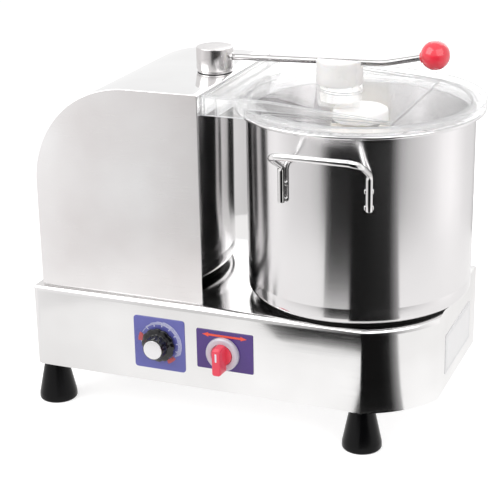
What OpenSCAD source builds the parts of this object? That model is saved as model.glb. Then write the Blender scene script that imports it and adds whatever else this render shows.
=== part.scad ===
// Vertical cutter mixer: a low base with a motor tower at its left end and a lidded bowl at its right end.
// X runs along the front from left to right, Y to the back and Z up. The feet stand on Z = 0.

/* [Base] */
// Depth of the base from front to back
base_w = 220; // [200:1:240]
// Height of the base box
base_h = 94; // [88:1:110]
// Thickness of the folded sheet
sheet_t = 1.5; // [1:0.1:2]
// Radius of the folded top edges
edge_r = 7; // [4:0.5:10]
// Radius of the upright corners at the left
corner_r = 10; // [9:0.5:14]
// How far the rounded front corner swells past the half depth
nose_bulge = 6; // [3:0.5:9]
// How far the bowl wall stands out past the flat right end
end_tuck = 16; // [10:1:22]
// Height of the feet
foot_h = 50; // [35:1:60]
// Widest diameter of a foot
foot_d = 43; // [34:1:46]

/* [Tower] */
// Width of the motor tower
tower_w = 193; // [180:1:220]
// How far the tower rises above the rim of the bowl
tower_over = 21; // [20.5:0.5:30]
// Radius of the big rounded corner at its top left
tower_r = 112; // [60:1:125]
// Step of the deck left and in front of the tower
ledge = 12; // [10.5:0.5:16]
// Gap between the tower and the rim of the bowl
tower_gap = 10; // [8:0.5:14]

/* [Bowl] */
// Outer diameter of the bowl
bowl_d = 240; // [220:1:250]
// Height of the bowl with its rim
bowl_h = 202; // [170:1:230]
// Thickness of the bowl wall
bowl_t = 1.5; // [1:0.1:2]
// How far the rim stands out from the wall
rim_out = 11; // [8:0.5:13]
// Height of the black seat ring
seat_h = 7; // [5:0.5:9]
// Diameter of the handle rods
handle_d = 7; // [6:0.5:9]

/* [Lid] */
// Thickness of the clear walls
clear_t = 3; // [2.5:0.1:3.5]
// Height of the round edge of the lid
lid_edge_h = 8; // [6:0.5:10]
// Height of the raised part above the rim of the bowl
hump_h = 18.5; // [16:0.5:20]
// Outer diameter of the feed tube
feed_d = 47; // [40:0.5:50]
// Distance from the bowl axis to the feed tube
feed_off = 23; // [20:0.5:26]
// Height of the feed tube above the rim of the bowl
feed_up = 19; // [18:0.5:24]
// Height of the cap up to the floor of its groove
cap_h = 18.5; // [14:0.5:24]

/* [Lever] */
// Diameter of the lever rod
rod_d = 6.5; // [5:0.5:8]
// Rise of the straight part of the rod, in degrees
rod_rise = 1.6; // [1:0.1:2]
// Rise of the bent end of the rod, in degrees
rod_bend = 12.5; // [8:0.5:18]
// Diameter of the ball knob
ball_d = 30; // [25:1:36]
// Diameter of the post head
head_d = 40; // [34:1:42]
// Height of the post head
head_h = 24.5; // [20:0.5:28]
// How far the post lifts
post_lift = 8; // [5:0.5:9]

/* [Drive] */
// Outer diameter of the motor
motor_d = 118; // [100:1:125]
// Height of the motor body
motor_h = 130; // [110:1:140]
// Pitch diameter of the motor pulley
drive_d = 50; // [40:1:60]
// Pitch diameter of the spindle pulley
driven_d = 70; // [56:1:80]
// Width of the belt
belt_w = 13; // [10:0.5:15]
// Diameter of the spindle
spindle_d = 20; // [16:1:20]
// Thickness of the blades
blade_t = 2; // [1.5:0.1:3]
// Gap between the blade tips and the bowl wall
tip_gap = 6; // [4:0.5:10]

/* [Controls] */
// Side of the square dial plate
dial_w = 60; // [56:1:62]
// Width of the switch plate
plate_w = 65; // [60:1:68]
// Height of the switch plate
plate_h = 45; // [42:1:50]
// Diameter of the knob skirt
knob_d = 39; // [34:1:42]
// Diameter of the switch bezel
bezel_d = 38; // [34:1:40]

/* [Hidden] */
$fn = 64;
// Smoothness of the children of a hull
hull_fn = 32;
// Overrun of every cut
over = 1;
// Gap between parts that move on each other
gap = 0.3;
// Radial clearance of a running fit
run_c = 0.05;
// Clearance of a screw in its hole
hole_c = 0.2;

// Base, measured from the bowl axis
bowl_r = bowl_d / 2;
rim_r = bowl_r + rim_out;
half_w = base_w / 2;
axis_to_end = bowl_r - end_tuck;
span_left = rim_r + tower_gap + tower_w + ledge;
foot_in_x = 13;
foot_out = foot_d / 2 - foot_in_x;
bx = (span_left + foot_out - rim_r) / 2;
x_left = bx - span_left;
x_end = bx + axis_to_end;
nose_r = half_w + nose_bulge;
bend_x = sqrt(nose_r * nose_r - half_w * half_w);
rear_edge_r = 3;
z_base = foot_h;
z_deck = foot_h + base_h;

// Bottom plate and feet
plate_t = 1.5;
floor_gap = 0.2;
foot_top_d = 24;
foot_edge = 3;
foot_in_y = 24;
foot_right_in = 72;
foot_bore_d = 6.4;
foot_screw_d = 6;
foot_sink_d = 16;
foot_sink_h = 14;
screw_head_h = 4;
screw_head_d = 12;
nut_d = 11.5;
nut_h = 5;
thread_out = 2;
feet_x = [x_left + foot_in_x, x_end - foot_right_in];
feet_y = [-half_w + foot_in_y, half_w - foot_in_y];
vent_l = 40;
vent_w = 4;
vent_pitch = 12;
vent_n = 5;

// Plate on the flat end
side_w = 106;
side_h = 45;
side_t = 1;
side_y = 30;
side_z = 39.5;

// Tower
x_wall = bx - rim_r - tower_gap;
x_tower = x_wall - tower_w;
tower_front = -half_w + edge_r;
tower_back = half_w - rear_edge_r;
tower_h = seat_h + bowl_h + tower_over;
z_tower = z_deck + tower_h;
z_rim = z_deck + seat_h + bowl_h;
tab_w = 14.5;
tab_t = 6;
cover_t = 1.5;
cover_screw_d = 4;
cover_head_d = 8;
cover_head_h = 2.4;
cover_in = 8;
louvre_l = 90;
louvre_w = 4;
louvre_pitch = 14;
louvre_n = 6;
louvre_z = 60;

// Cord inlet
gland_in = 60;
gland_x = x_left + gland_in;
gland_up = 40;
gland_z = z_base + gland_up;
gland_d = 22;
gland_l = 16;
gland_bore_d = 9;
gland_thread_d = 16;
gland_nut_h = 5;
gland_nut_d = 24;
gland_flat_h = 6;

// Seat, bearing housing and spindle
bowl_corner = 12;
seat_r = bowl_r - bowl_corner;
seat_w = 6;
hub_flange_r = 48;
hub_flange_t = 8;
barrel_r = 27;
bearing_od = 42;
bearing_w = 12;
belt_up = 12;
belt_z = z_base + belt_up;
pulley_rim = 2;
pulley_lip = 4;
belt_t = 5;
barrel_gap = 4;
barrel_z = belt_z + belt_w + 2 * pulley_rim + barrel_gap;
barrel_top = z_deck - sheet_t;
boss_r = 21.6;
boss_over = 3;
boss_h = seat_h + boss_over;
deck_hole_gap = 1;
deck_hole_r = barrel_r + deck_hole_gap;
seal_r = 17.5;
seal_h = 7;
seal_top = 2;
bearing_low_in = 2;
lower_bearing_z = barrel_z + bearing_low_in;
bearing_top_in = 6;
upper_bearing_z = barrel_top - bearing_top_in - bearing_w;
spindle_r = spindle_d / 2;
spindle_out = 4;
spindle_low = belt_z - spindle_out;
shoulder = 2;
drive_flat_r = spindle_r - shoulder;
spindle_top_in = 8;
hub_bolt_n = 4;
hub_bolt_pcd = 80;
bolt_d = 6;
bolt_head_d = 10;
bolt_head_h = 4;

// Bowl inside
bowl_z = z_deck + seat_h;
bowl_floor_t = 2;
bowl_floor_z = bowl_z + bowl_floor_t;
rim_t = 3;
rim_lip = 1.5;
bowl_hole_gap = 0.4;
bowl_hole_r = boss_r + bowl_hole_gap;
tube_r = 23;
tube_t = 1.2;
tube_foot_r = 30;
tube_foot_t = 1.5;
handle_r = handle_d / 2;
handle_x = 46;
handle_drop = 79;
handle_low = z_rim - handle_drop;
knee_drop = 41;
handle_knee = z_rim - knee_drop;
handle_arm = 42;
handle_lean = 30;
handle_bend = 12;
knee_bend = 8;
knee_lap = 2;
knee_thin = 0.02;
weld_gap = 0.1;

// Blade carrier
hub_r = 29.3;
hub_bore_r = 24.5;
hub_up = 6;
hub_low_z = bowl_floor_z + hub_up;
hub_foot_r = 34;
hub_foot_h = 4;
block_w = 52;
block_d = 40;
block_h = 23;
hub_down = 5;
hub_top_z = z_rim - hub_down;
cap_nut_h = 13;
cap_nut_round = 4;
washer_t = 1.2;
washer_w = 50;
block_z = hub_top_z - cap_nut_h - washer_t - block_h;
tube_top_gap = 8;
tube_h = block_z - tube_top_gap - bowl_floor_z;
set_hole_d = 5;
set_hole_h = 5;
blade_root_w = 24;
blade_tip_w = 9;
blade_sweep = 38;
blade_ring_r = 36;
blade_root_r = (hub_r + blade_ring_r) / 2;
blade_steps = 12;
blade_power_share = 1.3;
spacer_h = 34;
clamp_h = 8;
blade_tip_r = bowl_r - bowl_t - tip_gap;
lower_blade_z = hub_low_z + hub_foot_h;
spacer_z = lower_blade_z + blade_t;
upper_blade_z = spacer_z + spacer_h;
clamp_z = upper_blade_z + blade_t;

// Lid
lid_z = z_rim;
lid_top = z_rim + lid_edge_h;
lid_rim_w = 12;
lid_plate_t = 4;
skirt_gap = 1.5;
skirt_r = bowl_r - bowl_t - skirt_gap;
skirt_h = 6;
hump_half = 93;
hump_sink = 2.5;
hump_low = z_rim - hump_sink;
hump_top = z_rim + hump_h;
hump_clear = 0.5;
hump_x = x_wall + hump_clear;
hump_flat = 68;
hump_break = bx - hump_flat;
hump_slope = 62;
hump_end = bx + hump_slope;
rib_in = 17;
cap_over = 1;
feed_x = bx - feed_off;
feed_r = feed_d / 2;
feed_sink = 3;
feed_low = z_rim - feed_sink;
feed_top = z_rim + feed_up;
feed_seat = 0.1;
cap_r = feed_r + cap_over;
plug_gap = 0.5;
plug_r = feed_r - clear_t - plug_gap;
plug_h = 18;
cap_lip_h = 7.5;
cap_lip_gap = 0.4;
cap_groove = feed_top + cap_h;

// Lever and post
rod_r = rod_d / 2;
post_in = 23;
post_x = x_wall - post_in;
post_r = 7;
wash_h = 3;
wash_r = 19;
head_z = z_tower + wash_h + gap;
rod_over_cap = cap_groove + gap + rod_r / cos(rod_rise);
rod_z = rod_over_cap - tan(rod_rise) * (feed_x - cap_r - post_x);
knee_past = 25;
rod_knee_x = bx + knee_past;
rod_reach = (rod_knee_x - post_x) / cos(rod_rise);
rod_knee_z = rod_z + tan(rod_rise) * (rod_knee_x - post_x);
rod_tail = 55;
rod_socket = 12;
ball_r = ball_d / 2;
ball_flat = 11;
ball_in = 9;
ball_dist = rod_tail;
guide_r = 11;
guide_l = 27;
guide_flange_r = 17;
guide_flange_t = 3;
collar_r = 13;
collar_h = 6;
spring_wire = 1.6;
spring_mid_r = 9.4;
spring_turns = 6;
spring_left = 20;
spring_top = z_tower - guide_l - gap;
spring_low = spring_top - spring_left - post_lift;
collar_z = spring_low - gap - collar_h;
shelf_in = 22;
shelf_z = collar_z - shelf_in;
post_low = shelf_z - post_lift;
shelf_t = 3;
shelf_y = 24;
shelf_x = 26;
shelf_up = 60;
micro_w = 10;
micro_l = 28;
micro_h = 13;
micro_y = 15;
micro_reach = 21;
micro_pin_y = micro_y + micro_reach;
arm_t = 1;
arm_z = collar_z - gap - arm_t;
arm_pin_r = 1.5;
arm_short = 9;
arm_len = micro_pin_y - arm_short;
arm_w = 5;

// Motor
motor_x = x_wall - tower_w / 2;
motor_r = motor_d / 2;
shield_h = 12;
mount_w = 136;
mount_t = 8;
mount_bolt = 58;
motor_z = z_deck + mount_t;
stator_bore_r = 34;
air_gap = 0.7;
rotor_r = stator_bore_r - air_gap;
rotor_in = 14;
shaft_gap = 2;
shaft_r = 8;
motor_bearing_r = 17.5;
motor_bearing_w = 10;
fan_r = 48;
fan_h = 14;
fan_blades = 9;
fan_blade_t = 2;
fan_hub_r = 16;
fan_gap = 3;
fan_z = motor_z + motor_h + fan_gap;
shaft_top = fan_z + fan_h;
shaft_hole_r = 20;
drive_r = drive_d / 2;
driven_r = driven_d / 2;

// Controls
front_y = -half_w;
dial_in = 156;
dial_x = x_left + dial_in;
dial_up = 46;
dial_z = z_base + dial_up;
dial_t = 1;
panel_round = 3;
panel_pitch = 76.5;
switch_x = dial_x + panel_pitch;
switch_up = 48.5;
switch_z = z_base + switch_up;
axis_left = 2;
switch_axis_x = switch_x - axis_left;
axis_down = 3;
switch_axis_z = switch_z - axis_down;
knob_skirt_h = 6;
knob_h = 19;
knob_step = 4;
knob_top_r = 11.5;
knob_face_r = 10.2;
knob_face_t = 0.8;
knob_flutes = 12;
knob_flute_r = 2;
knob_shaft_r = 3;
pot_r = 13;
pot_l = 12;
pot_neck_r = 4.5;
bezel_t = 5;
turn_r = 11.5;
turn_t = 5;
grip_w = 11;
grip_h = 31;
grip_out = 20;
grip_off = -3;
switch_shaft_r = 4;
switch_body_w = 42;
switch_body_l = 56;
board_w = 44;
board_l = 130;
board_t = 1.6;
board_up = 8;
board_z = z_base + plate_t + board_up;
board_in = 14;
board_x = x_left + board_in;
stand_r = 3;
sink_w = 12;
sink_l = 60;
sink_h = 30;
can_r = 11;
can_h = 32;

// A cylinder whose axis runs along X from the point
module bar_x(r, l) {
    rotate([0, 90, 0]) cylinder(r = r, h = l);
}

// A cylinder whose axis runs towards the front from the point
module bar_front(r, l) {
    rotate([90, 0, 0]) cylinder(r = r, h = l);
}

// A ring on the Z axis
module ring(r_out, r_in, h) {
    difference() {
        cylinder(r = r_out, h = h);
        translate([0, 0, -over]) cylinder(r = r_in, h = h + 2 * over);
    }
}

// Outline with two rounded top corners, from low to high
module arch_2d(left, right, low, high, r_left, r_right) {
    difference() {
        translate([left, low]) square([right - left, high - low]);
        if (r_left > 0) translate([left, high]) corner_2d(r_left, 1);
        if (r_right > 0) translate([right, high]) corner_2d(r_right, -1);
    }
}

// What a rounded top corner takes away: side is 1 at the left and -1 at the right
module corner_2d(r, side) {
    difference() {
        translate([side > 0 ? -over : -r, -r]) square([r + over, r + over]);
        translate([side * r, -r]) circle(r = r, $fn = 96);
    }
}

// The rounded box of the base. in shrinks it on every closed side, so that it also makes the hollow.
module base_form(in, low, high) {
    r = edge_r - in;
    intersection() {
        translate([x_left, 0, 0]) rotate([90, 0, 90]) linear_extrude(span_left + axis_to_end - in)
            arch_2d(-half_w + in, half_w - in, low, high, r, rear_edge_r - in);
        translate([0, half_w, 0]) rotate([90, 0, 0]) linear_extrude(base_w)
            arch_2d(x_left + in, x_end - in, low, high, r, 0);
        union() {
            translate([x_left, -half_w, low]) cube([span_left + bend_x, base_w, high - low]);
            translate([bx, 0, low]) cube([axis_to_end, half_w, high - low]);
            translate([bx, 0, 0]) rotate_extrude($fn = 96) intersection() {
                arch_2d(-nose_r, nose_r - in, low, high, 0, r);
                translate([0, low]) square([nose_r, high - low]);
            }
        }
        translate([0, 0, low]) linear_extrude(high - low) base_plan(in);
    }
}

// Plan of the base with rounded upright corners at the left
module base_plan(in) {
    r = corner_r - in;
    translate([x_left + corner_r, -half_w]) square([span_left + axis_to_end, base_w]);
    translate([x_left, -half_w + corner_r]) square([corner_r, base_w - 2 * corner_r]);
    for (side = [-1, 1]) translate([x_left + corner_r, side * (half_w - corner_r)]) circle(r = r);
}

module base_shell() {
    color("gainsboro") difference() {
        base_form(0, z_base, z_deck);
        base_form(sheet_t, z_base - over, z_deck - sheet_t);
        translate([bx, 0, z_deck - sheet_t - over]) cylinder(r = deck_hole_r, h = sheet_t + 2 * over);
        translate([motor_x, 0, z_deck - sheet_t - over]) cylinder(r = shaft_hole_r, h = sheet_t + 2 * over);
        for (a = [0 : hub_bolt_n - 1]) translate([bx, 0, 0]) rotate([0, 0, 360 / hub_bolt_n * (a + 0.5)])
            translate([hub_bolt_pcd / 2, 0, z_deck - sheet_t - over])
                cylinder(d = bolt_d + 2 * hole_c, h = sheet_t + 2 * over);
        for (sx = [-1, 1], sy = [-1, 1])
            translate([motor_x + sx * mount_bolt, sy * mount_bolt, z_deck - sheet_t - over])
                cylinder(d = bolt_d + 2 * hole_c, h = sheet_t + 2 * over);
        translate([dial_x, front_y - over, dial_z]) rotate([-90, 0, 0])
            cylinder(r = pot_neck_r + hole_c, h = sheet_t + 2 * over);
        translate([switch_axis_x, front_y - over, switch_axis_z]) rotate([-90, 0, 0])
            cylinder(r = switch_shaft_r + hole_c, h = sheet_t + 2 * over);
        translate([gland_x, half_w - sheet_t - over, gland_z]) rotate([-90, 0, 0])
            cylinder(d = gland_thread_d + 2 * hole_c, h = sheet_t + 2 * over);
    }
}

module base_bottom() {
    inset = sheet_t + floor_gap;
    color("silver") difference() {
        intersection() {
            base_form(inset, z_base - base_h, z_deck);
            translate([x_left, -half_w, z_base]) cube([span_left + axis_to_end, base_w, plate_t]);
        }
        for (x = feet_x, y = feet_y) translate([x, y, z_base - over])
            cylinder(d = foot_screw_d + 2 * hole_c, h = plate_t + 2 * over);
        for (i = [0 : vent_n - 1])
            translate([motor_x - vent_l / 2, (i - (vent_n - 1) / 2) * vent_pitch, z_base - over])
                slot(vent_l, vent_w, plate_t + 2 * over);
    }
}

// A slot with round ends that runs along X
module slot(l, w, h) {
    translate([0, -w / 2, 0]) cube([l, w, h]);
    for (x = [0, l]) translate([x, 0, 0]) cylinder(d = w, h = h, $fn = 24);
}

// A rubber cone foot with a sunk hole for its screw
module foot(x, y) {
    color("#1b1b1d") translate([x, y, 0]) difference() {
        rotate_extrude() polygon([[0, 0], [foot_d / 2 - foot_edge / 2, 0], [foot_d / 2, foot_edge / 2],
            [foot_d / 2, foot_edge * 2], [foot_top_d / 2, foot_h], [0, foot_h]]);
        translate([0, 0, -over]) cylinder(d = foot_bore_d, h = foot_h + 2 * over);
        translate([0, 0, -over]) cylinder(d = foot_sink_d, h = foot_sink_h + over);
    }
}

module foot_screws() {
    color("silver") for (x = feet_x, y = feet_y) translate([x, y, 0]) {
        translate([0, 0, foot_sink_h - screw_head_h]) cylinder(d = screw_head_d, h = screw_head_h);
        translate([0, 0, foot_sink_h])
            cylinder(d = foot_screw_d, h = foot_h + plate_t + nut_h + thread_out - foot_sink_h);
        translate([0, 0, foot_h + plate_t]) cylinder(d = nut_d, h = nut_h, $fn = 6);
    }
}

module side_plate() {
    color("whitesmoke") translate([x_end, side_y - side_w / 2, z_base + side_z - side_h / 2])
        cube([side_t, side_w, side_h]);
}

// Outline of the tower seen from the front
module tower_2d(in) {
    arch_2d(x_tower + in, x_wall - in, z_deck, z_tower - in, tower_r - in, 0);
}

// Places of the screws of the rear cover, in X and Z
cover_places = [[x_tower + cover_in, z_deck + cover_in], [x_wall - cover_in, z_deck + cover_in],
    [x_wall - cover_in, z_tower - cover_in], [x_tower + cover_in, z_deck + tower_h - tower_r - cover_in]];

module tower_shell() {
    inner_back = tower_back - cover_t;
    color("gainsboro") difference() {
        union() {
            difference() {
                translate([0, tower_back, 0]) rotate([90, 0, 0])
                    linear_extrude(tower_back - tower_front) tower_2d(0);
                translate([0, tower_back + over, 0]) rotate([90, 0, 0])
                    linear_extrude(tower_back + over - tower_front - sheet_t)
                        arch_2d(x_tower + sheet_t, x_wall - sheet_t, z_deck - over, z_tower - sheet_t,
                            tower_r - sheet_t, 0);
            }
            for (p = cover_places) translate([p[0] - tab_w / 2, inner_back - tab_t, p[1] - tab_w / 2])
                cube([tab_w, tab_t, tab_w]);
        }
        for (p = cover_places) translate([p[0], inner_back - tab_t - over, p[1]]) rotate([-90, 0, 0])
            cylinder(d = cover_screw_d + 2 * hole_c, h = tab_t + 2 * over);
        translate([post_x, 0, z_tower - sheet_t - over])
            cylinder(r = guide_r + hole_c, h = sheet_t + 2 * over);
    }
}

module tower_rear_cover() {
    inset = sheet_t + floor_gap;
    color("silver") difference() {
        translate([0, tower_back, 0]) rotate([90, 0, 0]) linear_extrude(cover_t) tower_2d(inset);
        for (p = cover_places) translate([p[0], tower_back + over, p[1]])
            bar_front(cover_screw_d / 2 + hole_c, cover_t + 2 * over);
        for (i = [0 : louvre_n - 1])
            translate([motor_x - louvre_l / 2, tower_back + over, z_deck + louvre_z + i * louvre_pitch])
                rotate([90, 0, 0]) slot(louvre_l, louvre_w, cover_t + 2 * over);
    }
}

module rear_cover_screws() {
    color("silver") for (p = cover_places) translate([p[0], tower_back, p[1]]) {
        bar_front(cover_screw_d / 2, cover_t + tab_t);
        translate([0, cover_head_h, 0]) bar_front(cover_head_d / 2, cover_head_h);
    }
}

module cord_gland() {
    color("#1b1b1d") translate([gland_x, half_w, gland_z]) rotate([-90, 0, 0]) difference() {
        union() {
            cylinder(d = gland_nut_d, h = gland_flat_h, $fn = 6);
            cylinder(d1 = gland_d, d2 = gland_thread_d, h = gland_l);
            translate([0, 0, -sheet_t - gland_nut_h - over])
                cylinder(d = gland_thread_d, h = sheet_t + gland_nut_h + 2 * over);
            translate([0, 0, -sheet_t - gland_nut_h]) cylinder(d = gland_nut_d, h = gland_nut_h, $fn = 6);
        }
        translate([0, 0, -sheet_t - gland_nut_h - 2 * over])
            cylinder(d = gland_bore_d, h = gland_l + sheet_t + gland_nut_h + 4 * over);
    }
}

module motor_frame() {
    color("#4a4f55") translate([motor_x, 0, motor_z + shield_h]) difference() {
        cylinder(r = motor_r, h = motor_h - 2 * shield_h);
        translate([0, 0, -over]) cylinder(r = stator_bore_r, h = motor_h + 2 * over);
    }
}

module motor_lower_shield() {
    color("silver") translate([motor_x, 0, 0]) difference() {
        union() {
            translate([-mount_w / 2, -mount_w / 2, z_deck]) cube([mount_w, mount_w, mount_t]);
            translate([0, 0, motor_z]) cylinder(r = motor_r, h = shield_h);
        }
        translate([0, 0, z_deck - over]) cylinder(r = shaft_r + shaft_gap, h = motor_h);
        translate([0, 0, motor_z + shield_h - motor_bearing_w])
            cylinder(r = motor_bearing_r, h = motor_bearing_w + over);
        for (sx = [-1, 1], sy = [-1, 1]) translate([sx * mount_bolt, sy * mount_bolt, z_deck - over])
            cylinder(d = bolt_d + 2 * hole_c, h = mount_t + 2 * over);
    }
}

module motor_upper_shield() {
    color("silver") translate([motor_x, 0, motor_z + motor_h - shield_h]) difference() {
        cylinder(r = motor_r, h = shield_h);
        translate([0, 0, -over]) cylinder(r = shaft_r + shaft_gap, h = shield_h + 2 * over);
        translate([0, 0, -over]) cylinder(r = motor_bearing_r, h = motor_bearing_w + over);
    }
}

module motor_bearings() {
    color("lightsteelblue") for (z = [motor_z + shield_h - motor_bearing_w, motor_z + motor_h - shield_h])
        translate([motor_x, 0, z]) ring(motor_bearing_r, shaft_r + run_c, motor_bearing_w);
}

module motor_bolts() {
    color("silver") for (sx = [-1, 1], sy = [-1, 1])
        translate([motor_x + sx * mount_bolt, sy * mount_bolt, z_deck]) {
            translate([0, 0, mount_t]) cylinder(d = bolt_head_d, h = bolt_head_h, $fn = 6);
            translate([0, 0, -sheet_t - nut_h - over])
                cylinder(d = bolt_d, h = mount_t + sheet_t + nut_h + over);
            translate([0, 0, -sheet_t - nut_h]) cylinder(d = nut_d, h = nut_h, $fn = 6);
        }
}

module motor_rotor() {
    core_low = motor_z + shield_h + rotor_in / 2;
    color("#8a6a4a") translate([motor_x, 0, 0]) {
        translate([0, 0, core_low]) cylinder(r = rotor_r, h = motor_h - 2 * shield_h - rotor_in);
        translate([0, 0, spindle_low]) cylinder(r = shaft_r, h = shaft_top - spindle_low);
    }
}

module motor_fan() {
    color("#2c2c30") translate([motor_x, 0, fan_z]) difference() {
        union() {
            cylinder(r = fan_hub_r, h = fan_h);
            cylinder(r = fan_r, h = fan_blade_t);
            for (i = [0 : fan_blades - 1]) rotate([0, 0, 360 / fan_blades * i])
                translate([fan_hub_r - fan_blade_t, -fan_blade_t / 2, fan_blade_t / 2])
                    cube([fan_r - fan_hub_r, fan_blade_t, fan_h - fan_blade_t]);
        }
        translate([0, 0, -over]) cylinder(r = shaft_r, h = fan_h + 2 * over);
    }
}

// A belt pulley between two lips, bored for its shaft
module pulley(r, bore_r) {
    wide = belt_w + 2 * pulley_rim;
    color("#5d6167") difference() {
        union() {
            translate([0, 0, -pulley_rim]) cylinder(r = r - belt_t / 2 - gap, h = wide);
            for (z = [-pulley_rim, belt_w + gap]) translate([0, 0, z])
                cylinder(r = r + pulley_lip - belt_t / 2, h = pulley_rim - gap);
        }
        translate([0, 0, -pulley_rim - over]) cylinder(r = bore_r, h = wide + 2 * over);
    }
}

module drive_pulley() {
    translate([motor_x, 0, belt_z]) pulley(drive_r, shaft_r);
}

module driven_pulley() {
    translate([bx, 0, belt_z]) pulley(driven_r, spindle_r);
}

// Plan of the belt at a distance from its pitch line
module belt_2d(off_line) {
    hull() {
        translate([motor_x, 0]) circle(r = drive_r + off_line, $fn = 3 * hull_fn);
        translate([bx, 0]) circle(r = driven_r + off_line, $fn = 3 * hull_fn);
    }
}

module drive_belt() {
    color("#202022") translate([0, 0, belt_z]) linear_extrude(belt_w) difference() {
        belt_2d(belt_t / 2);
        belt_2d(-belt_t / 2);
    }
}

module bearing_housing() {
    color("#9aa0a6") translate([bx, 0, 0]) difference() {
        union() {
            translate([0, 0, barrel_z]) cylinder(r = barrel_r, h = z_deck - barrel_z);
            translate([0, 0, barrel_top - hub_flange_t]) cylinder(r = hub_flange_r, h = hub_flange_t);
            translate([0, 0, barrel_z]) cylinder(r = boss_r, h = z_deck + boss_h - barrel_z);
        }
        translate([0, 0, barrel_z - over])
            cylinder(d = bearing_od, h = upper_bearing_z + bearing_w + over - barrel_z);
        translate([0, 0, barrel_z])
            cylinder(r = spindle_r + shaft_gap, h = z_deck + boss_h - barrel_z + over);
        translate([0, 0, z_deck + boss_h - seal_h - seal_top])
            cylinder(r = seal_r, h = seal_h + seal_top + over);
        for (a = [0 : hub_bolt_n - 1]) rotate([0, 0, 360 / hub_bolt_n * (a + 0.5)])
            translate([hub_bolt_pcd / 2, 0, barrel_top - hub_flange_t - over])
                cylinder(d = bolt_d + 2 * hole_c, h = hub_flange_t + 2 * over);
    }
}

module spindle_bearings() {
    color("lightsteelblue") for (z = [lower_bearing_z, upper_bearing_z])
        translate([bx, 0, z]) ring(bearing_od / 2, spindle_r + run_c, bearing_w);
}

module shaft_seal() {
    color("#2a2a2c") translate([bx, 0, z_deck + boss_h - seal_h - seal_top])
        ring(seal_r, spindle_r + run_c, seal_h);
}

module housing_bolts() {
    low = barrel_top - hub_flange_t;
    turn = 360 / hub_bolt_n;
    color("silver") translate([bx, 0, 0]) for (a = [0 : hub_bolt_n - 1]) rotate([0, 0, turn * (a + 0.5)])
        translate([hub_bolt_pcd / 2, 0, 0]) {
            translate([0, 0, low - bolt_head_h]) cylinder(d = bolt_head_d, h = bolt_head_h, $fn = 6);
            translate([0, 0, low]) cylinder(d = bolt_d, h = hub_flange_t + sheet_t);
            translate([0, 0, z_deck]) cylinder(d = bolt_head_d, h = bolt_head_h / 2);
        }
}

module spindle() {
    color("silver") translate([bx, 0, 0]) {
        translate([0, 0, spindle_low]) cylinder(r = spindle_r, h = block_z - spindle_low);
        translate([0, 0, block_z]) cylinder(r = drive_flat_r, h = block_h + washer_t + spindle_top_in);
    }
}

module bowl_seat_ring() {
    color("#151516") translate([bx, 0, z_deck]) ring(seat_r, seat_r - seat_w, seat_h);
}

module bowl() {
    in = bowl_corner - bowl_t;
    color("gainsboro") translate([bx, 0, 0]) rotate_extrude($fn = 128) {
        translate([bowl_hole_r, bowl_z]) square([bowl_r - bowl_corner - bowl_hole_r, bowl_floor_t]);
        translate([bowl_r - bowl_corner, bowl_z + bowl_corner]) intersection() {
            difference() {
                circle(r = bowl_corner, $fn = 96);
                circle(r = in, $fn = 96);
            }
            translate([0, -bowl_corner]) square([bowl_corner, bowl_corner]);
        }
        translate([bowl_r - bowl_corner, bowl_z]) square([bowl_t, bowl_floor_t]);
        translate([bowl_r - bowl_t, bowl_z + bowl_corner]) square([bowl_t, z_rim - bowl_z - bowl_corner]);
        translate([bowl_r - bowl_t, z_rim - rim_t]) square([rim_out + bowl_t, rim_t]);
        translate([rim_r - rim_lip, z_rim - rim_t - rim_lip]) square([rim_lip, rim_t]);
    }
}

module bowl_tube() {
    color("gainsboro") translate([bx, 0, bowl_floor_z]) {
        ring(tube_r, tube_r - tube_t, tube_h);
        ring(tube_foot_r, tube_r - tube_t, tube_foot_t);
    }
}

// A handle bent from rod, in front of the bowl
module handle() {
    wall_y = -sqrt(pow(bowl_r + handle_r + weld_gap, 2) - handle_x * handle_x);
    turn = 90 - handle_lean;
    run = knee_bend * tan(turn / 2);
    for (side = [-1, 1]) {
        translate([side * handle_x, wall_y, handle_low])
            cylinder(r = handle_r, h = handle_knee - run - handle_low);
        translate([side * handle_x, wall_y - knee_bend, handle_knee - run]) rotate([90, 0, 90])
            rotate([0, 0, -knee_lap]) rotate_extrude(angle = turn + 2 * knee_lap)
                translate([knee_bend, 0]) circle(r = handle_r - knee_thin);
    }
    translate([0, wall_y, handle_knee]) rotate([180 - handle_lean, 0, 0]) {
        for (side = [-1, 1]) {
            translate([side * handle_x, run, 0]) rotate([-90, 0, 0])
                cylinder(r = handle_r, h = handle_arm - handle_bend - run);
            translate([side * (handle_x - handle_bend), handle_arm - handle_bend, 0])
                rotate([0, 0, side > 0 ? 0 : 90]) rotate_extrude(angle = 90)
                    translate([handle_bend, 0]) circle(r = handle_r);
        }
        translate([-handle_x + handle_bend, handle_arm, 0]) bar_x(handle_r, 2 * (handle_x - handle_bend));
    }
}

module front_handle() {
    color("gainsboro") translate([bx, 0, 0]) handle();
}

module rear_handle() {
    color("gainsboro") translate([bx, 0, 0]) rotate([0, 0, 180]) handle();
}

module blade_hub() {
    color("#f4efe2") translate([bx, 0, 0]) difference() {
        union() {
            translate([0, 0, hub_low_z]) cylinder(r = hub_r, h = block_z - hub_low_z);
            translate([0, 0, hub_low_z]) cylinder(r = hub_foot_r, h = hub_foot_h);
            translate([-block_w / 2, -block_d / 2, block_z]) cube([block_w, block_d, block_h]);
        }
        translate([0, 0, hub_low_z - over]) cylinder(r = hub_bore_r, h = block_z - hub_low_z + over);
        translate([0, 0, block_z - over]) cylinder(r = drive_flat_r, h = block_h + 2 * over);
        translate([-block_w / 2 + set_hole_h, -block_d / 2 - over, block_z + block_h - set_hole_h])
            rotate([-90, 0, 0]) cylinder(d = set_hole_d, h = set_hole_h + over, $fn = 24);
    }
}

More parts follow.
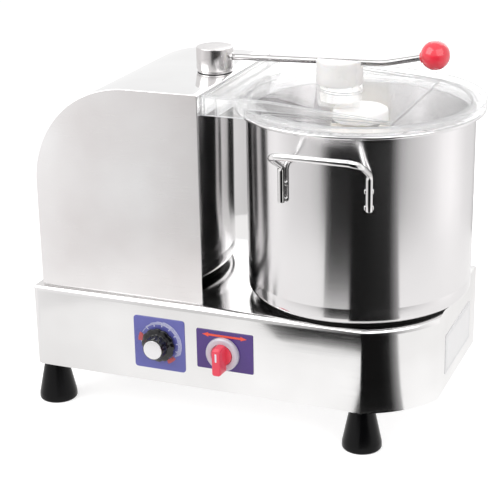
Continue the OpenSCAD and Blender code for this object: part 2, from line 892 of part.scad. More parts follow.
// Points of one edge of a sickle blade: side is 1 for the leading edge and -1 for the trailing edge
function blade_edge(side) = [for (i = [0 : blade_steps]) let (
    s = i / blade_steps,
    r = blade_root_r + (blade_tip_r - blade_root_r) * s,
    w = blade_root_w + (blade_tip_w - blade_root_w) * s,
    a = blade_sweep * pow(s, blade_power_share) + side * asin(min(w / 2 / r, 1)))
    [r * cos(a), r * sin(a)]];

function backwards(list) = [for (i = [len(list) - 1 : -1 : 0]) list[i]];

// A pair of sickle blades on one ring around the hub
module blade() {
    color("silver") difference() {
        union() {
            cylinder(r = blade_ring_r, h = blade_t);
            for (a = [0, 180]) rotate([0, 0, a]) linear_extrude(blade_t)
                polygon(concat(blade_edge(1), backwards(blade_edge(-1))));
        }
        translate([0, 0, -over]) cylinder(r = hub_r, h = blade_t + 2 * over);
    }
}

module lower_blade() {
    translate([bx, 0, lower_blade_z]) blade();
}

module upper_blade() {
    translate([bx, 0, upper_blade_z]) rotate([0, 0, 90]) blade();
}

module blade_spacer() {
    color("#f4efe2") translate([bx, 0, spacer_z]) ring(hub_foot_r, hub_r, spacer_h);
}

module blade_clamp_ring() {
    color("#f4efe2") translate([bx, 0, clamp_z]) ring(hub_foot_r, hub_r, clamp_h);
}

module hub_washer() {
    color("#6a6a6e") translate([bx, 0, block_z + block_h]) difference() {
        translate([-washer_w / 2, -block_d / 2, 0]) cube([washer_w, block_d, washer_t]);
        translate([0, 0, -over]) cylinder(r = drive_flat_r, h = washer_t + 2 * over);
    }
}

module hub_cap_nut() {
    round_r = cap_nut_round;
    color("ivory") translate([bx, 0, hub_top_z - cap_nut_h]) difference() {
        rotate_extrude() {
            square([hub_r, cap_nut_h - round_r]);
            square([hub_r - round_r, cap_nut_h]);
            translate([hub_r - round_r, cap_nut_h - round_r]) intersection() {
                circle(r = round_r);
                square(round_r);
            }
        }
        translate([0, 0, -over]) cylinder(r = drive_flat_r, h = spindle_top_in + over);
    }
}

// Side outline of the raised part of the lid, shrunk by in
module hump_2d(in, low) {
    polygon([[hump_x + in, low], [hump_x + in, hump_top - in], [hump_break, hump_top - in],
        [hump_end - in, lid_top - in], [hump_end - in, low]]);
}

// The raised part of the lid as a solid block between two heights of its walls
module hump_block(in, low) {
    wide = hump_half - in;
    translate([0, wide, 0]) rotate([90, 0, 0]) linear_extrude(2 * wide) hump_2d(in, low);
}

module lid() {
    skirt_in = skirt_r - clear_t;
    color("lightcyan", 0.4) difference() {
        union() {
            translate([bx, 0, lid_z]) ring(rim_r, rim_r - lid_rim_w, lid_edge_h);
            difference() {
                translate([bx, 0, lid_top - lid_plate_t])
                    cylinder(r = rim_r - lid_rim_w / 2, h = lid_plate_t);
                hump_block(clear_t, lid_z);
            }
            translate([bx, 0, lid_z - skirt_h]) ring(skirt_r, skirt_in, skirt_h + lid_edge_h);
            difference() {
                hump_block(0, hump_low);
                difference() {
                    hump_block(clear_t, hump_low - over);
                    translate([bx, 0, hump_low]) ring(rim_r, skirt_in, lid_top - hump_low);
                    translate([hump_x + rib_in - clear_t, -hump_half, hump_low])
                        cube([clear_t, 2 * hump_half, hump_h]);
                }
                translate([bx, 0, hump_low - over])
                    cylinder(r = rim_r + hump_clear, h = z_rim - hump_low + over);
                translate([bx, 0, z_rim - over]) cylinder(r = skirt_in, h = over + lid_edge_h - lid_plate_t);
            }
        }
        translate([feed_x, 0, feed_low - over]) cylinder(r = feed_r + feed_seat, h = feed_top - feed_low);
    }
}

module feed_tube() {
    color("lightcyan", 0.4) translate([feed_x, 0, feed_low])
        ring(feed_r, feed_r - clear_t, feed_top - feed_low);
}

module feed_cap() {
    color("ivory") translate([feed_x, 0, 0]) {
        translate([0, 0, feed_top]) cylinder(r = cap_r, h = cap_h);
        translate([0, 0, feed_top - plug_h]) cylinder(r = plug_r, h = plug_h);
        translate([0, 0, cap_groove]) intersection() {
            cylinder(r = cap_r, h = cap_lip_h);
            translate([-cap_r, -cap_r, 0]) cube([2 * cap_r, cap_r - rod_r - cap_lip_gap, cap_lip_h]);
        }
    }
}

module post_guide() {
    color("#b9b08a") translate([post_x, 0, z_tower]) difference() {
        union() {
            translate([0, 0, -guide_l]) cylinder(r = guide_r, h = guide_l);
            translate([0, 0, -sheet_t - guide_flange_t]) cylinder(r = guide_flange_r, h = guide_flange_t);
        }
        translate([0, 0, -guide_l - over]) cylinder(r = post_r + run_c, h = guide_l + 2 * over);
    }
}

module post_washer() {
    color("#151516") translate([post_x, 0, z_tower]) ring(wash_r, post_r + gap, wash_h);
}

module clamp_post() {
    color("silver") translate([post_x, 0, 0]) {
        translate([0, 0, post_low]) cylinder(r = post_r, h = head_z + head_h / 4 - post_low);
        translate([0, 0, collar_z]) cylinder(r = collar_r, h = collar_h);
    }
}

// Ring i of the spring wire, round the coil at height share t
function coil_ring(t, k) = let (
    turn = 360 * spring_turns * t,
    z = spring_low + spring_wire / 2 + (spring_top - spring_low - spring_wire) * t,
    b = 60 * k,
    r = spring_mid_r + spring_wire / 2 * cos(b))
    [r * cos(turn), r * sin(turn), z + spring_wire / 2 * sin(b)];

module post_spring() {
    n = spring_turns * 12;
    pts = [for (i = [0 : n], k = [0 : 5]) coil_ring(i / n, k)];
    sides = [for (i = [0 : n - 1], k = [0 : 5]) let (a = 6 * i + k, b = 6 * i + (k + 1) % 6)
        each [[a, b, a + 6], [b, b + 6, a + 6]]];
    ends = concat([for (k = [1 : 4]) [0, k + 1, k]], [for (k = [1 : 4]) [6 * n, 6 * n + k, 6 * n + k + 1]]);
    color("silver") translate([post_x, 0, 0]) polyhedron(points = pts, faces = concat(sides, ends));
}

module post_head() {
    color("silver") difference() {
        translate([post_x, 0, head_z]) cylinder(r = head_d / 2, h = head_h);
        translate([post_x, 0, head_z - over]) cylinder(r = post_r + run_c, h = head_h / 4 + gap + over);
        translate([post_x, 0, rod_z]) rotate([0, -rod_rise, 0]) translate([rod_socket, 0, 0])
            bar_x(rod_r, head_d);
    }
}

module lever_rod() {
    color("silver") {
        translate([post_x, 0, rod_z]) rotate([0, -rod_rise, 0]) translate([rod_socket, 0, 0])
            bar_x(rod_r, rod_reach - rod_socket);
        translate([rod_knee_x, 0, rod_knee_z]) {
            sphere(r = rod_r);
            rotate([0, -rod_bend, 0]) bar_x(rod_r, rod_tail - ball_r + ball_in);
        }
    }
}

module ball_knob() {
    color("#f0455a") translate([rod_knee_x, 0, rod_knee_z]) rotate([0, -rod_bend, 0]) difference() {
        union() {
            translate([ball_dist, 0, 0]) sphere(r = ball_r, $fn = 96);
            translate([ball_dist - ball_r, 0, 0]) bar_x(ball_flat / 2, ball_r);
        }
        translate([ball_dist - ball_r - over, 0, 0]) bar_x(rod_r, ball_in + over);
    }
}

module switch_bracket() {
    wall_x = x_wall - sheet_t;
    color("silver") difference() {
        union() {
            translate([post_x - shelf_x / 2, -shelf_y / 2, shelf_z])
                cube([wall_x - post_x + shelf_x / 2, shelf_y, shelf_t]);
            translate([post_x - micro_w, 0, shelf_z])
                cube([wall_x - post_x + micro_w, micro_y + micro_l, shelf_t]);
            translate([wall_x - shelf_t, -shelf_y / 2, shelf_z]) cube([shelf_t, shelf_y, shelf_up]);
        }
        translate([post_x, 0, shelf_z - over]) cylinder(r = post_r + run_c, h = shelf_t + 2 * over);
    }
}

module lid_switch() {
    pin_z = arm_z + arm_t / 2 - shelf_z - shelf_t;
    ear_w = (micro_w - arm_w) / 2 - gap;
    color("#26272b") translate([post_x - micro_w / 2, micro_y, shelf_z + shelf_t]) {
        cube([micro_w, micro_l, micro_h]);
        for (x = [0, micro_w - ear_w]) difference() {
            translate([x, micro_pin_y - micro_y - arm_pin_r * 2, micro_h])
                cube([ear_w, arm_pin_r * 4, pin_z + arm_pin_r * 2 - micro_h]);
            translate([-over, micro_pin_y - micro_y, pin_z]) bar_x(arm_pin_r + run_c, micro_w + 2 * over);
        }
    }
}

module lid_switch_arm() {
    ear_z = arm_z + arm_t / 2;
    color("silver") {
        translate([post_x - arm_w / 2, micro_pin_y - arm_len, arm_z]) cube([arm_w, arm_len, arm_t]);
        translate([post_x - micro_w / 2, micro_pin_y, ear_z]) bar_x(arm_pin_r, micro_w);
    }
}

// A plate with rounded corners on the front of the base, bored at a place
module front_plate(x, z, w, h, t, bore_x, bore_z, bore_r) {
    translate([0, front_y, 0]) rotate([90, 0, 0]) linear_extrude(t) difference() {
        union() {
            translate([x - w / 2 + panel_round, z - h / 2]) square([w - 2 * panel_round, h]);
            translate([x - w / 2, z - h / 2 + panel_round]) square([w, h - 2 * panel_round]);
            for (sx = [-1, 1], sz = [-1, 1])
                translate([x + sx * (w / 2 - panel_round), z + sz * (h / 2 - panel_round)])
                    circle(r = panel_round);
        }
        translate([bore_x, bore_z]) circle(r = bore_r);
    }
}

module dial_plate() {
    color("#5c66ae")
        front_plate(dial_x, dial_z, dial_w, dial_w, dial_t, dial_x, dial_z, pot_neck_r + hole_c);
}

module speed_control() {
    color("#303338") translate([dial_x, front_y, dial_z]) rotate([-90, 0, 0]) difference() {
        union() {
            translate([0, 0, sheet_t]) cylinder(r = pot_r, h = pot_l);
            translate([0, 0, -dial_t - over]) cylinder(r = pot_neck_r, h = sheet_t + dial_t + 2 * over);
        }
        translate([0, 0, -dial_t - 2 * over])
            cylinder(r = knob_shaft_r + run_c, h = sheet_t + dial_t + pot_l);
    }
}

module speed_knob() {
    low = dial_t + over + gap;
    color("#151516") translate([dial_x, front_y, dial_z]) rotate([90, 0, 0]) difference() {
        union() {
            translate([0, 0, low]) cylinder(d = knob_d, h = knob_skirt_h - low);
            translate([0, 0, knob_skirt_h])
                cylinder(r1 = knob_d / 2 - knob_step, r2 = knob_top_r, h = knob_h - knob_skirt_h);
            translate([0, 0, -sheet_t - pot_l / 2]) cylinder(r = knob_shaft_r, h = knob_h);
            translate([0, 0, knob_h]) cylinder(r = knob_face_r, h = knob_face_t);
        }
        for (i = [0 : knob_flutes - 1]) rotate([0, 0, 360 / knob_flutes * i])
            translate([knob_d / 2 + knob_flute_r / 2, 0, 0])
                cylinder(r = knob_flute_r, h = knob_skirt_h + over, $fn = 24);
    }
}

module switch_plate() {
    color("#5c4a92") front_plate(switch_x, switch_z, plate_w, plate_h, dial_t, switch_axis_x, switch_axis_z,
        switch_shaft_r + hole_c);
}

module switch_body() {
    half = switch_body_w / 2;
    back_y = front_y + sheet_t;
    color("#3a3d42") translate([switch_axis_x, back_y, switch_axis_z]) rotate([-90, 0, 0]) difference() {
        translate([-half, -half, 0]) cube([switch_body_w, switch_body_w, switch_body_l]);
        translate([0, 0, -over]) cylinder(r = switch_shaft_r + run_c, h = switch_body_l / 2);
    }
}

module switch_bezel() {
    color("whitesmoke") translate([switch_axis_x, front_y - dial_t, switch_axis_z]) rotate([90, 0, 0])
        ring(bezel_d / 2, turn_r + gap, bezel_t);
}

module switch_handle() {
    color("#e8435a") translate([switch_axis_x, front_y, switch_axis_z]) rotate([90, 0, 0]) {
        translate([0, 0, dial_t + gap]) cylinder(r = turn_r, h = turn_t);
        translate([0, 0, -sheet_t - switch_body_l / 4])
            cylinder(r = switch_shaft_r, h = switch_body_l / 4 + sheet_t + turn_t);
        translate([-grip_w / 2, grip_off - grip_h / 2 + grip_w / 2, bezel_t + dial_t + gap])
            cube([grip_w, grip_h - grip_w, grip_out - bezel_t]);
        for (s = [-1, 1]) translate([0, grip_off + s * (grip_h - grip_w) / 2, bezel_t + dial_t + gap])
            cylinder(r = grip_w / 2, h = grip_out - bezel_t);
    }
}

// The speed board on its four pillars with its heat sink and capacitor
module control_board() {
    pillar_h = board_z - z_base - plate_t;
    color("#2f6b4a") translate([board_x, -board_l / 2, board_z]) {
        cube([board_w, board_l, board_t]);
        translate([board_w - sink_w - stand_r, (board_l - sink_l) / 2, board_t])
            cube([sink_w, sink_l, sink_h]);
        translate([can_r + stand_r, board_l / 2, board_t]) cylinder(r = can_r, h = can_h);
        for (x = [stand_r, board_w - stand_r], y = [stand_r, board_l - stand_r])
            translate([x, y, -pillar_h]) cylinder(r = stand_r, h = pillar_h);
    }
}

base_shell();
base_bottom();
foot(feet_x[0], feet_y[0]);  // foot_front_left
foot(feet_x[1], feet_y[0]);  // foot_front_right
foot(feet_x[0], feet_y[1]);  // foot_rear_left
foot(feet_x[1], feet_y[1]);  // foot_rear_right
foot_screws();
side_plate();
tower_shell();
tower_rear_cover();
rear_cover_screws();
cord_gland();
motor_frame();
motor_lower_shield();
motor_upper_shield();
motor_bearings();
motor_bolts();
motor_rotor();
motor_fan();
drive_pulley();
drive_belt();
driven_pulley();
bearing_housing();
spindle_bearings();
shaft_seal();
housing_bolts();
spindle();
bowl_seat_ring();
bowl();
bowl_tube();
front_handle();
rear_handle();
blade_hub();
lower_blade();
blade_spacer();
upper_blade();
blade_clamp_ring();
hub_washer();
hub_cap_nut();
lid();
feed_tube();
feed_cap();
post_guide();
post_washer();
clamp_post();
post_spring();
post_head();
lever_rod();
ball_knob();
switch_bracket();
lid_switch();
lid_switch_arm();
dial_plate();
speed_control();
speed_knob();
switch_plate();
switch_body();
switch_bezel();
switch_handle();
control_board();
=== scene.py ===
"""Looks of the vertical cutter mixer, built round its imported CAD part.

Every length below is in millimetres in the part's own frame, and is turned into metres where a mesh is made.
A shell is a pair (points, faces): one closed surface. A piece is one or more shells with one material.
"""
import math

import bmesh
import bpy
import numpy as np
from mathutils import Matrix, Vector


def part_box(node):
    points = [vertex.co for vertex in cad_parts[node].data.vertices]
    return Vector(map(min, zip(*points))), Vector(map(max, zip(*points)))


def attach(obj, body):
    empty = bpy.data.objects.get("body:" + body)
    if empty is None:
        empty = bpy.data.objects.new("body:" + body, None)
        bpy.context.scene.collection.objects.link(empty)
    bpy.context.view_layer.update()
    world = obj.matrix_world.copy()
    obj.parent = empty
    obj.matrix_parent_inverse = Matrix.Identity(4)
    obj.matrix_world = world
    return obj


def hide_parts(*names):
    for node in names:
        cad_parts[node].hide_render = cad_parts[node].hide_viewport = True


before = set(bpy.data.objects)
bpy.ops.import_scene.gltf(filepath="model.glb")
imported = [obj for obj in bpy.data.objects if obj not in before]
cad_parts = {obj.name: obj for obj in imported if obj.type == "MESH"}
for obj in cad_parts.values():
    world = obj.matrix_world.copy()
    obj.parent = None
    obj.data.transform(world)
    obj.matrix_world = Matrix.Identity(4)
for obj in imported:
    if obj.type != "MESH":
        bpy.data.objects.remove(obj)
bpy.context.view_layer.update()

MM = 0.001
TAU = 2 * math.pi


def span(node):
    """Lowest and highest corner of a CAD node in millimetres."""
    low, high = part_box(node)
    return np.array(low) / MM, np.array(high) / MM


def middle(node):
    """Middle of a CAD node's box in millimetres."""
    low, high = span(node)
    return (low + high) / 2


# Shells


def grid_faces(rows, cols, wrap_rows, wrap_cols):
    """Four-sided faces between neighbours of a rows by cols grid of points, closed where wrap is set."""
    r = np.arange(rows if wrap_rows else rows - 1)
    c = np.arange(cols if wrap_cols else cols - 1)
    r, c = np.meshgrid(r, c, indexing="ij")
    r2 = (r + 1) % rows
    c2 = (c + 1) % cols
    return np.stack([r * cols + c, r2 * cols + c, r2 * cols + c2, r * cols + c2], -1).reshape(-1, 4).tolist()


def turned(profile, at=(0, 0, 0), along="z", steps=96):
    """A closed profile of (radius, height) points turned about an axis that lies along z, x or the front."""
    p = np.array(profile, float)
    a = np.arange(steps) / steps * TAU
    r, h = p[:, 0][None, :], p[:, 1][None, :]
    x = r * np.cos(a)[:, None]
    y = r * np.sin(a)[:, None]
    z = h + 0 * x
    pts = {"z": (x, y, z), "x": (z, x, y), "front": (x, -z, y)}[along]
    return np.stack(pts, -1).reshape(-1, 3) + np.array(at, float), grid_faces(steps, len(p), True, True)


def arc(centre, radius, start, stop, n):
    """Points on a circle from start to stop, in degrees: centre + radius (cos t, sin t)."""
    t = np.radians(np.linspace(start, stop, n))
    return np.stack([centre[0] + radius * np.cos(t), centre[1] + radius * np.sin(t)], -1)


def rounded_profile(points, radii, n=6):
    """A closed profile whose corners are rounded: each becomes an arc that touches both of its sides."""
    p = np.array(points, float)
    out = []
    for i in range(len(p)):
        a, b, c = p[i - 1], p[i], p[(i + 1) % len(p)]
        rad = radii[i] if np.ndim(radii) else radii
        u, v = (a - b) / np.linalg.norm(a - b), (c - b) / np.linalg.norm(c - b)
        half = math.acos(np.clip(u @ v, -1, 1)) / 2
        if rad <= 0 or half > math.pi / 2 - 0.02:
            out.append(b[None])
            continue
        cut = rad / math.tan(half)
        mid = b + (u + v) / np.linalg.norm(u + v) * rad / math.sin(half)
        s, e = b + u * cut - mid, b + v * cut - mid
        a0, a1 = math.atan2(s[1], s[0]), math.atan2(e[1], e[0])
        d = (a1 - a0 + math.pi) % TAU - math.pi
        t = a0 + d * np.linspace(0, 1, n)
        out.append(np.stack([mid[0] + rad * np.cos(t), mid[1] + rad * np.sin(t)], -1))
    return np.concatenate(out)


def smooth_path(points, radii, n=10):
    """An open path in space whose inner corners are arcs: the same rounding, in the plane of each corner."""
    p = [np.array(q, float) for q in points]
    out = [p[0][None]]
    for i in range(1, len(p) - 1):
        u = (p[i - 1] - p[i]) / np.linalg.norm(p[i - 1] - p[i])
        v = (p[i + 1] - p[i]) / np.linalg.norm(p[i + 1] - p[i])
        half = math.acos(np.clip(u @ v, -1, 1)) / 2
        rad = radii[i - 1]
        mid = p[i] + (u + v) / np.linalg.norm(u + v) * rad / math.sin(half)
        s, e = p[i] + u * rad / math.tan(half) - mid, p[i] + v * rad / math.tan(half) - mid
        w = math.acos(np.clip(s @ e / rad ** 2, -1, 1))
        t = np.linspace(0, 1, n)[:, None]
        out.append(mid + (np.sin((1 - t) * w) * s + np.sin(t * w) * e) / math.sin(w))
    out.append(p[-1][None])
    return np.concatenate(out)


def rod(path, radius, steps=28, round_end=0.8):
    """A round rod along a path: circles carried along it without twisting, with its two ends rounded off."""
    p = np.array(path, float)
    d = np.gradient(p, axis=0)
    d /= np.linalg.norm(d, axis=1)[:, None]
    askew = [0.3, 0.2, 1.0]
    side = np.cross(d[0], askew)
    side /= np.linalg.norm(side)
    sides = []
    for k in range(len(p)):
        side = side - d[k] * (side @ d[k])
        side /= np.linalg.norm(side)
        sides.append(side)
    sides = np.array(sides)
    ups = np.cross(d, sides)
    t = np.linspace(0, math.pi / 2, 5)
    ends = [(round_end * (1 - math.sin(x)), radius - round_end * (1 - math.cos(x))) for x in t]
    rings = [(p[0] + d[0] * h, r, 0) for h, r in ends[::-1]]
    rings += [(p[k], radius, k) for k in range(1, len(p) - 1)]
    rings += [(p[-1] - d[-1] * h, r, len(p) - 1) for h, r in ends]
    a = np.arange(steps) / steps * TAU
    rows = [c + r * (np.cos(a)[:, None] * sides[k] + np.sin(a)[:, None] * ups[k]) for c, r, k in rings]
    pts = np.concatenate(rows)
    faces = grid_faces(len(rows), steps, False, True)
    faces.append(list(range(steps)))
    faces.append(list(range(len(pts) - steps, len(pts)))[::-1])
    return pts, faces


def inset_loop(loop, d):
    """A closed outline moved inwards by d along the mean normal of its two sides."""
    p = np.array(loop, float)
    e = np.roll(p, -1, 0) - p
    e /= np.linalg.norm(e, axis=1)[:, None]
    n = np.stack([-e[:, 1], e[:, 0]], -1)
    m = n + np.roll(n, 1, 0)
    m /= np.linalg.norm(m, axis=1)[:, None]
    share = np.clip((m * n).sum(1), 0.3, 1)
    return p + m * (d / share)[:, None]


def slab(loop, steps, place="z", at=0.0):
    """A flat piece: its outline repeated at (inset, height) steps, closed with a face at each end.

    The place z lays the outline in X, Y; front stands it in X, Z and right in Y, Z, raised towards that side.
    """
    loop = np.array(loop, float)
    area = np.sum(loop[:, 0] * np.roll(loop[:, 1], -1) - loop[:, 1] * np.roll(loop[:, 0], -1))
    if area < 0:
        loop = loop[::-1]
    rows = []
    for d, h in steps:
        q = inset_loop(loop, d) if d else loop
        level = np.full(len(q), h + at)
        axes = {"z": (q[:, 0], q[:, 1], level), "front": (q[:, 0], -level, q[:, 1]),
                "right": (level, q[:, 0], q[:, 1])}[place]
        rows.append(np.stack(axes, -1))
    n = len(loop)
    faces = grid_faces(len(rows), n, False, True)
    faces.append(list(range(n)))
    faces.append(list(range((len(rows) - 1) * n, len(rows) * n))[::-1])
    return np.concatenate(rows), faces


def ring_section(r0, r1, z0, z1, rounding, n=4):
    """The rounded four-sided section of a ring between two radii and two heights."""
    return rounded_profile([(r0, z0), (r1, z0), (r1, z1), (r0, z1)], rounding, n)


def soft_steps(low, high, r, n=4):
    """(inset, height) steps of a flat piece from low to high with both edges rounded by r."""
    t = np.linspace(0, math.pi / 2, n)
    down = [(r * (1 - math.sin(x)), low + r * (1 - math.cos(x))) for x in t]
    up = [(r * (1 - math.cos(x)), high - r * (1 - math.sin(x))) for x in t]
    return down + up


def round_loop(cx, cy, w, h, r, n=6):
    """Outline of a rectangle with rounded corners."""
    x, y = w / 2, h / 2
    return rounded_profile([(cx - x, cy - y), (cx + x, cy - y), (cx + x, cy + y), (cx - x, cy + y)], r, n)


# Pieces

# Points nearer than WELD metres are made one, and an edge that turns by more than SHARP degrees stays sharp
WELD = 1e-6
SHARP = 32


def piece(name, shells, material, body, replaces=(), sharp=SHARP):
    """One object from closed shells, welded, its faces turned outwards and smooth up to the sharp angle."""
    points, faces, start = [], [], 0
    for pts, fcs in shells:
        points.append(pts)
        faces += [[i + start for i in f] for f in fcs]
        start += len(pts)
    mesh = bpy.data.meshes.new(name)
    mesh.from_pydata((np.concatenate(points) * MM).tolist(), [], faces)
    bm = bmesh.new()
    bm.from_mesh(mesh)
    bmesh.ops.remove_doubles(bm, verts=bm.verts, dist=WELD)
    bmesh.ops.dissolve_degenerate(bm, edges=bm.edges, dist=WELD / 10)
    bmesh.ops.recalc_face_normals(bm, faces=bm.faces)
    bm.to_mesh(mesh)
    bm.free()
    mesh.polygons.foreach_set("use_smooth", np.ones(len(mesh.polygons), bool))
    mesh.set_sharp_from_angle(angle=math.radians(sharp))
    mesh.materials.append(material)
    obj = bpy.data.objects.new(name, mesh)
    bpy.context.scene.collection.objects.link(obj)
    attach(obj, body)
    if replaces:
        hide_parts(*replaces)
    return obj


# Node groups that several finishes share


def group(name, inputs, outputs):
    """An empty node group with float inputs (name, value) and named outputs (name, kind)."""
    g = bpy.data.node_groups.new(name, "ShaderNodeTree")
    for label, value in inputs:
        s = g.interface.new_socket(label, in_out="INPUT", socket_type="NodeSocketFloat")
        s.default_value = value
    for label, kind in outputs:
        g.interface.new_socket(label, in_out="OUTPUT", socket_type="NodeSocket" + kind)
    return g, g.nodes.new("NodeGroupInput"), g.nodes.new("NodeGroupOutput")


def make_grain():
    """Fine parallel scratches: noise on Object coordinates, stretched by its own scale along each axis."""
    g, gi, go = group("steel_grain", [("Scale X", 1.0), ("Scale Y", 1.0), ("Scale Z", 1.0), ("Cloud", 9.0)],
                      [("Lines", "Float"), ("Clouds", "Float")])
    n, l = g.nodes, g.links
    co = n.new("ShaderNodeTexCoord")
    join = n.new("ShaderNodeCombineXYZ")
    mul = n.new("ShaderNodeVectorMath")
    mul.operation = "MULTIPLY"
    for i, axis in enumerate("XYZ"):
        l.new(gi.outputs["Scale " + axis], join.inputs[i])
    l.new(co.outputs["Object"], mul.inputs[0])
    l.new(join.outputs[0], mul.inputs[1])
    fine = n.new("ShaderNodeTexNoise")
    fine.inputs["Scale"].default_value = 1.0
    fine.inputs["Detail"].default_value = 5.0
    fine.inputs["Roughness"].default_value = 0.7
    l.new(mul.outputs[0], fine.inputs["Vector"])
    cloud = n.new("ShaderNodeTexNoise")
    cloud.inputs["Detail"].default_value = 3.0
    l.new(co.outputs["Object"], cloud.inputs["Vector"])
    l.new(gi.outputs["Cloud"], cloud.inputs["Scale"])
    l.new(fine.outputs["Fac"], go.inputs["Lines"])
    l.new(cloud.outputs["Fac"], go.inputs["Clouds"])
    return g


def make_speck():
    """Small even unevenness of moulded and rubber surfaces: two noises on Object coordinates."""
    g, gi, go = group("moulded_skin", [("Scale", 900.0), ("Patch", 30.0)],
                      [("Height", "Float"), ("Patches", "Float")])
    n, l = g.nodes, g.links
    co = n.new("ShaderNodeTexCoord")
    for socket, out in (("Scale", "Height"), ("Patch", "Patches")):
        t = n.new("ShaderNodeTexNoise")
        t.inputs["Detail"].default_value = 3.0
        l.new(co.outputs["Object"], t.inputs["Vector"])
        l.new(gi.outputs[socket], t.inputs["Scale"])
        l.new(t.outputs["Fac"], go.inputs[out])
    return g


GRAIN = make_grain()
SKIN = make_speck()


def blank(name):
    """A new material with its Principled shader."""
    m = bpy.data.materials.new(name)
    m.use_nodes = True
    return m, m.node_tree.nodes, m.node_tree.links, m.node_tree.nodes["Principled BSDF"]


def ramp(nodes, links, source, low, high, start=0.3, stop=0.7):
    """Maps a mask from start..stop to low..high."""
    r = nodes.new("ShaderNodeMapRange")
    r.inputs["From Min"].default_value = start
    r.inputs["From Max"].default_value = stop
    r.inputs["To Min"].default_value = low
    r.inputs["To Max"].default_value = high
    links.new(source, r.inputs["Value"])
    return r.outputs["Result"]


def tint(nodes, links, source, dark, light):
    """Mixes two colours by a mask."""
    m = nodes.new("ShaderNodeMix")
    m.data_type = "RGBA"
    m.inputs["A"].default_value = (*dark, 1)
    m.inputs["B"].default_value = (*light, 1)
    links.new(source, m.inputs["Factor"])
    return m.outputs["Result"]


def maths(nodes, links, operation, *sources):
    """One step of arithmetic on sockets and plain numbers."""
    m = nodes.new("ShaderNodeMath")
    m.operation = operation
    for k, source in enumerate(sources):
        if isinstance(source, float):
            m.inputs[k].default_value = source
        else:
            links.new(source, m.inputs[k])
    return m.outputs[0]


def mixed(nodes, links, share, one, two):
    """Mixes two shaders by a mask."""
    m = nodes.new("ShaderNodeMixShader")
    for k, source in enumerate((share, one, two)):
        links.new(source, m.inputs[k])
    return m.outputs[0]


def bump(nodes, links, shader, source, strength, distance):
    """Feeds a height into the shader's normal."""
    b = nodes.new("ShaderNodeBump")
    b.inputs["Strength"].default_value = strength
    b.inputs["Distance"].default_value = distance
    links.new(source, b.inputs["Height"])
    links.new(b.outputs["Normal"], shader.inputs["Normal"])


def steel(name, colour, rough, scales, spread=0.05, grain=0.0, cloud=9.0, depth=0.00002, shade=0.05,
          brushed=0.0, turn=0.0):
    """Stainless steel: grain lines vary its roughness and relief, clouds vary its brightness."""
    m, n, l, p = blank(name)
    g = n.new("ShaderNodeGroup")
    g.node_tree = GRAIN
    for axis, v in zip("XYZ", scales):
        g.inputs["Scale " + axis].default_value = v
    g.inputs["Cloud"].default_value = cloud
    light = tuple(min(1, c * (1 + shade)) for c in colour)
    dark = tuple(c * (1 - shade) for c in colour)
    l.new(tint(n, l, ramp(n, l, g.outputs["Clouds"], 0, 1), dark, light), p.inputs["Base Color"])
    l.new(ramp(n, l, g.outputs["Lines"], max(0.01, rough - spread), rough + spread), p.inputs["Roughness"])
    p.inputs["Metallic"].default_value = 1.0
    p.inputs["Anisotropic"].default_value = brushed
    p.inputs["Anisotropic Rotation"].default_value = turn
    if grain:
        bump(n, l, p, g.outputs["Lines"], grain, depth)
    return m


def moulded(name, colour, rough, relief=0.1, shade=0.04, coat=0.0, subsurface=0.0, specular=0.5):
    """Moulded plastic or rubber: fine skin relief, and patches that vary colour and roughness a little."""
    m, n, l, p = blank(name)
    g = n.new("ShaderNodeGroup")
    g.node_tree = SKIN
    light = tuple(min(1, c * (1 + shade)) for c in colour)
    dark = tuple(c * (1 - shade) for c in colour)
    l.new(tint(n, l, ramp(n, l, g.outputs["Patches"], 0, 1), dark, light), p.inputs["Base Color"])
    l.new(ramp(n, l, g.outputs["Patches"], rough * 0.85, rough * 1.15), p.inputs["Roughness"])
    p.inputs["Coat Weight"].default_value = coat
    p.inputs["Coat Roughness"].default_value = 0.05
    p.inputs["Specular IOR Level"].default_value = specular
    if subsurface:
        p.inputs["Subsurface Weight"].default_value = subsurface
        p.inputs["Subsurface Radius"].default_value = (0.004, 0.003, 0.002)
    if relief:
        bump(n, l, p, g.outputs["Height"], relief, 0.00005)
    return m


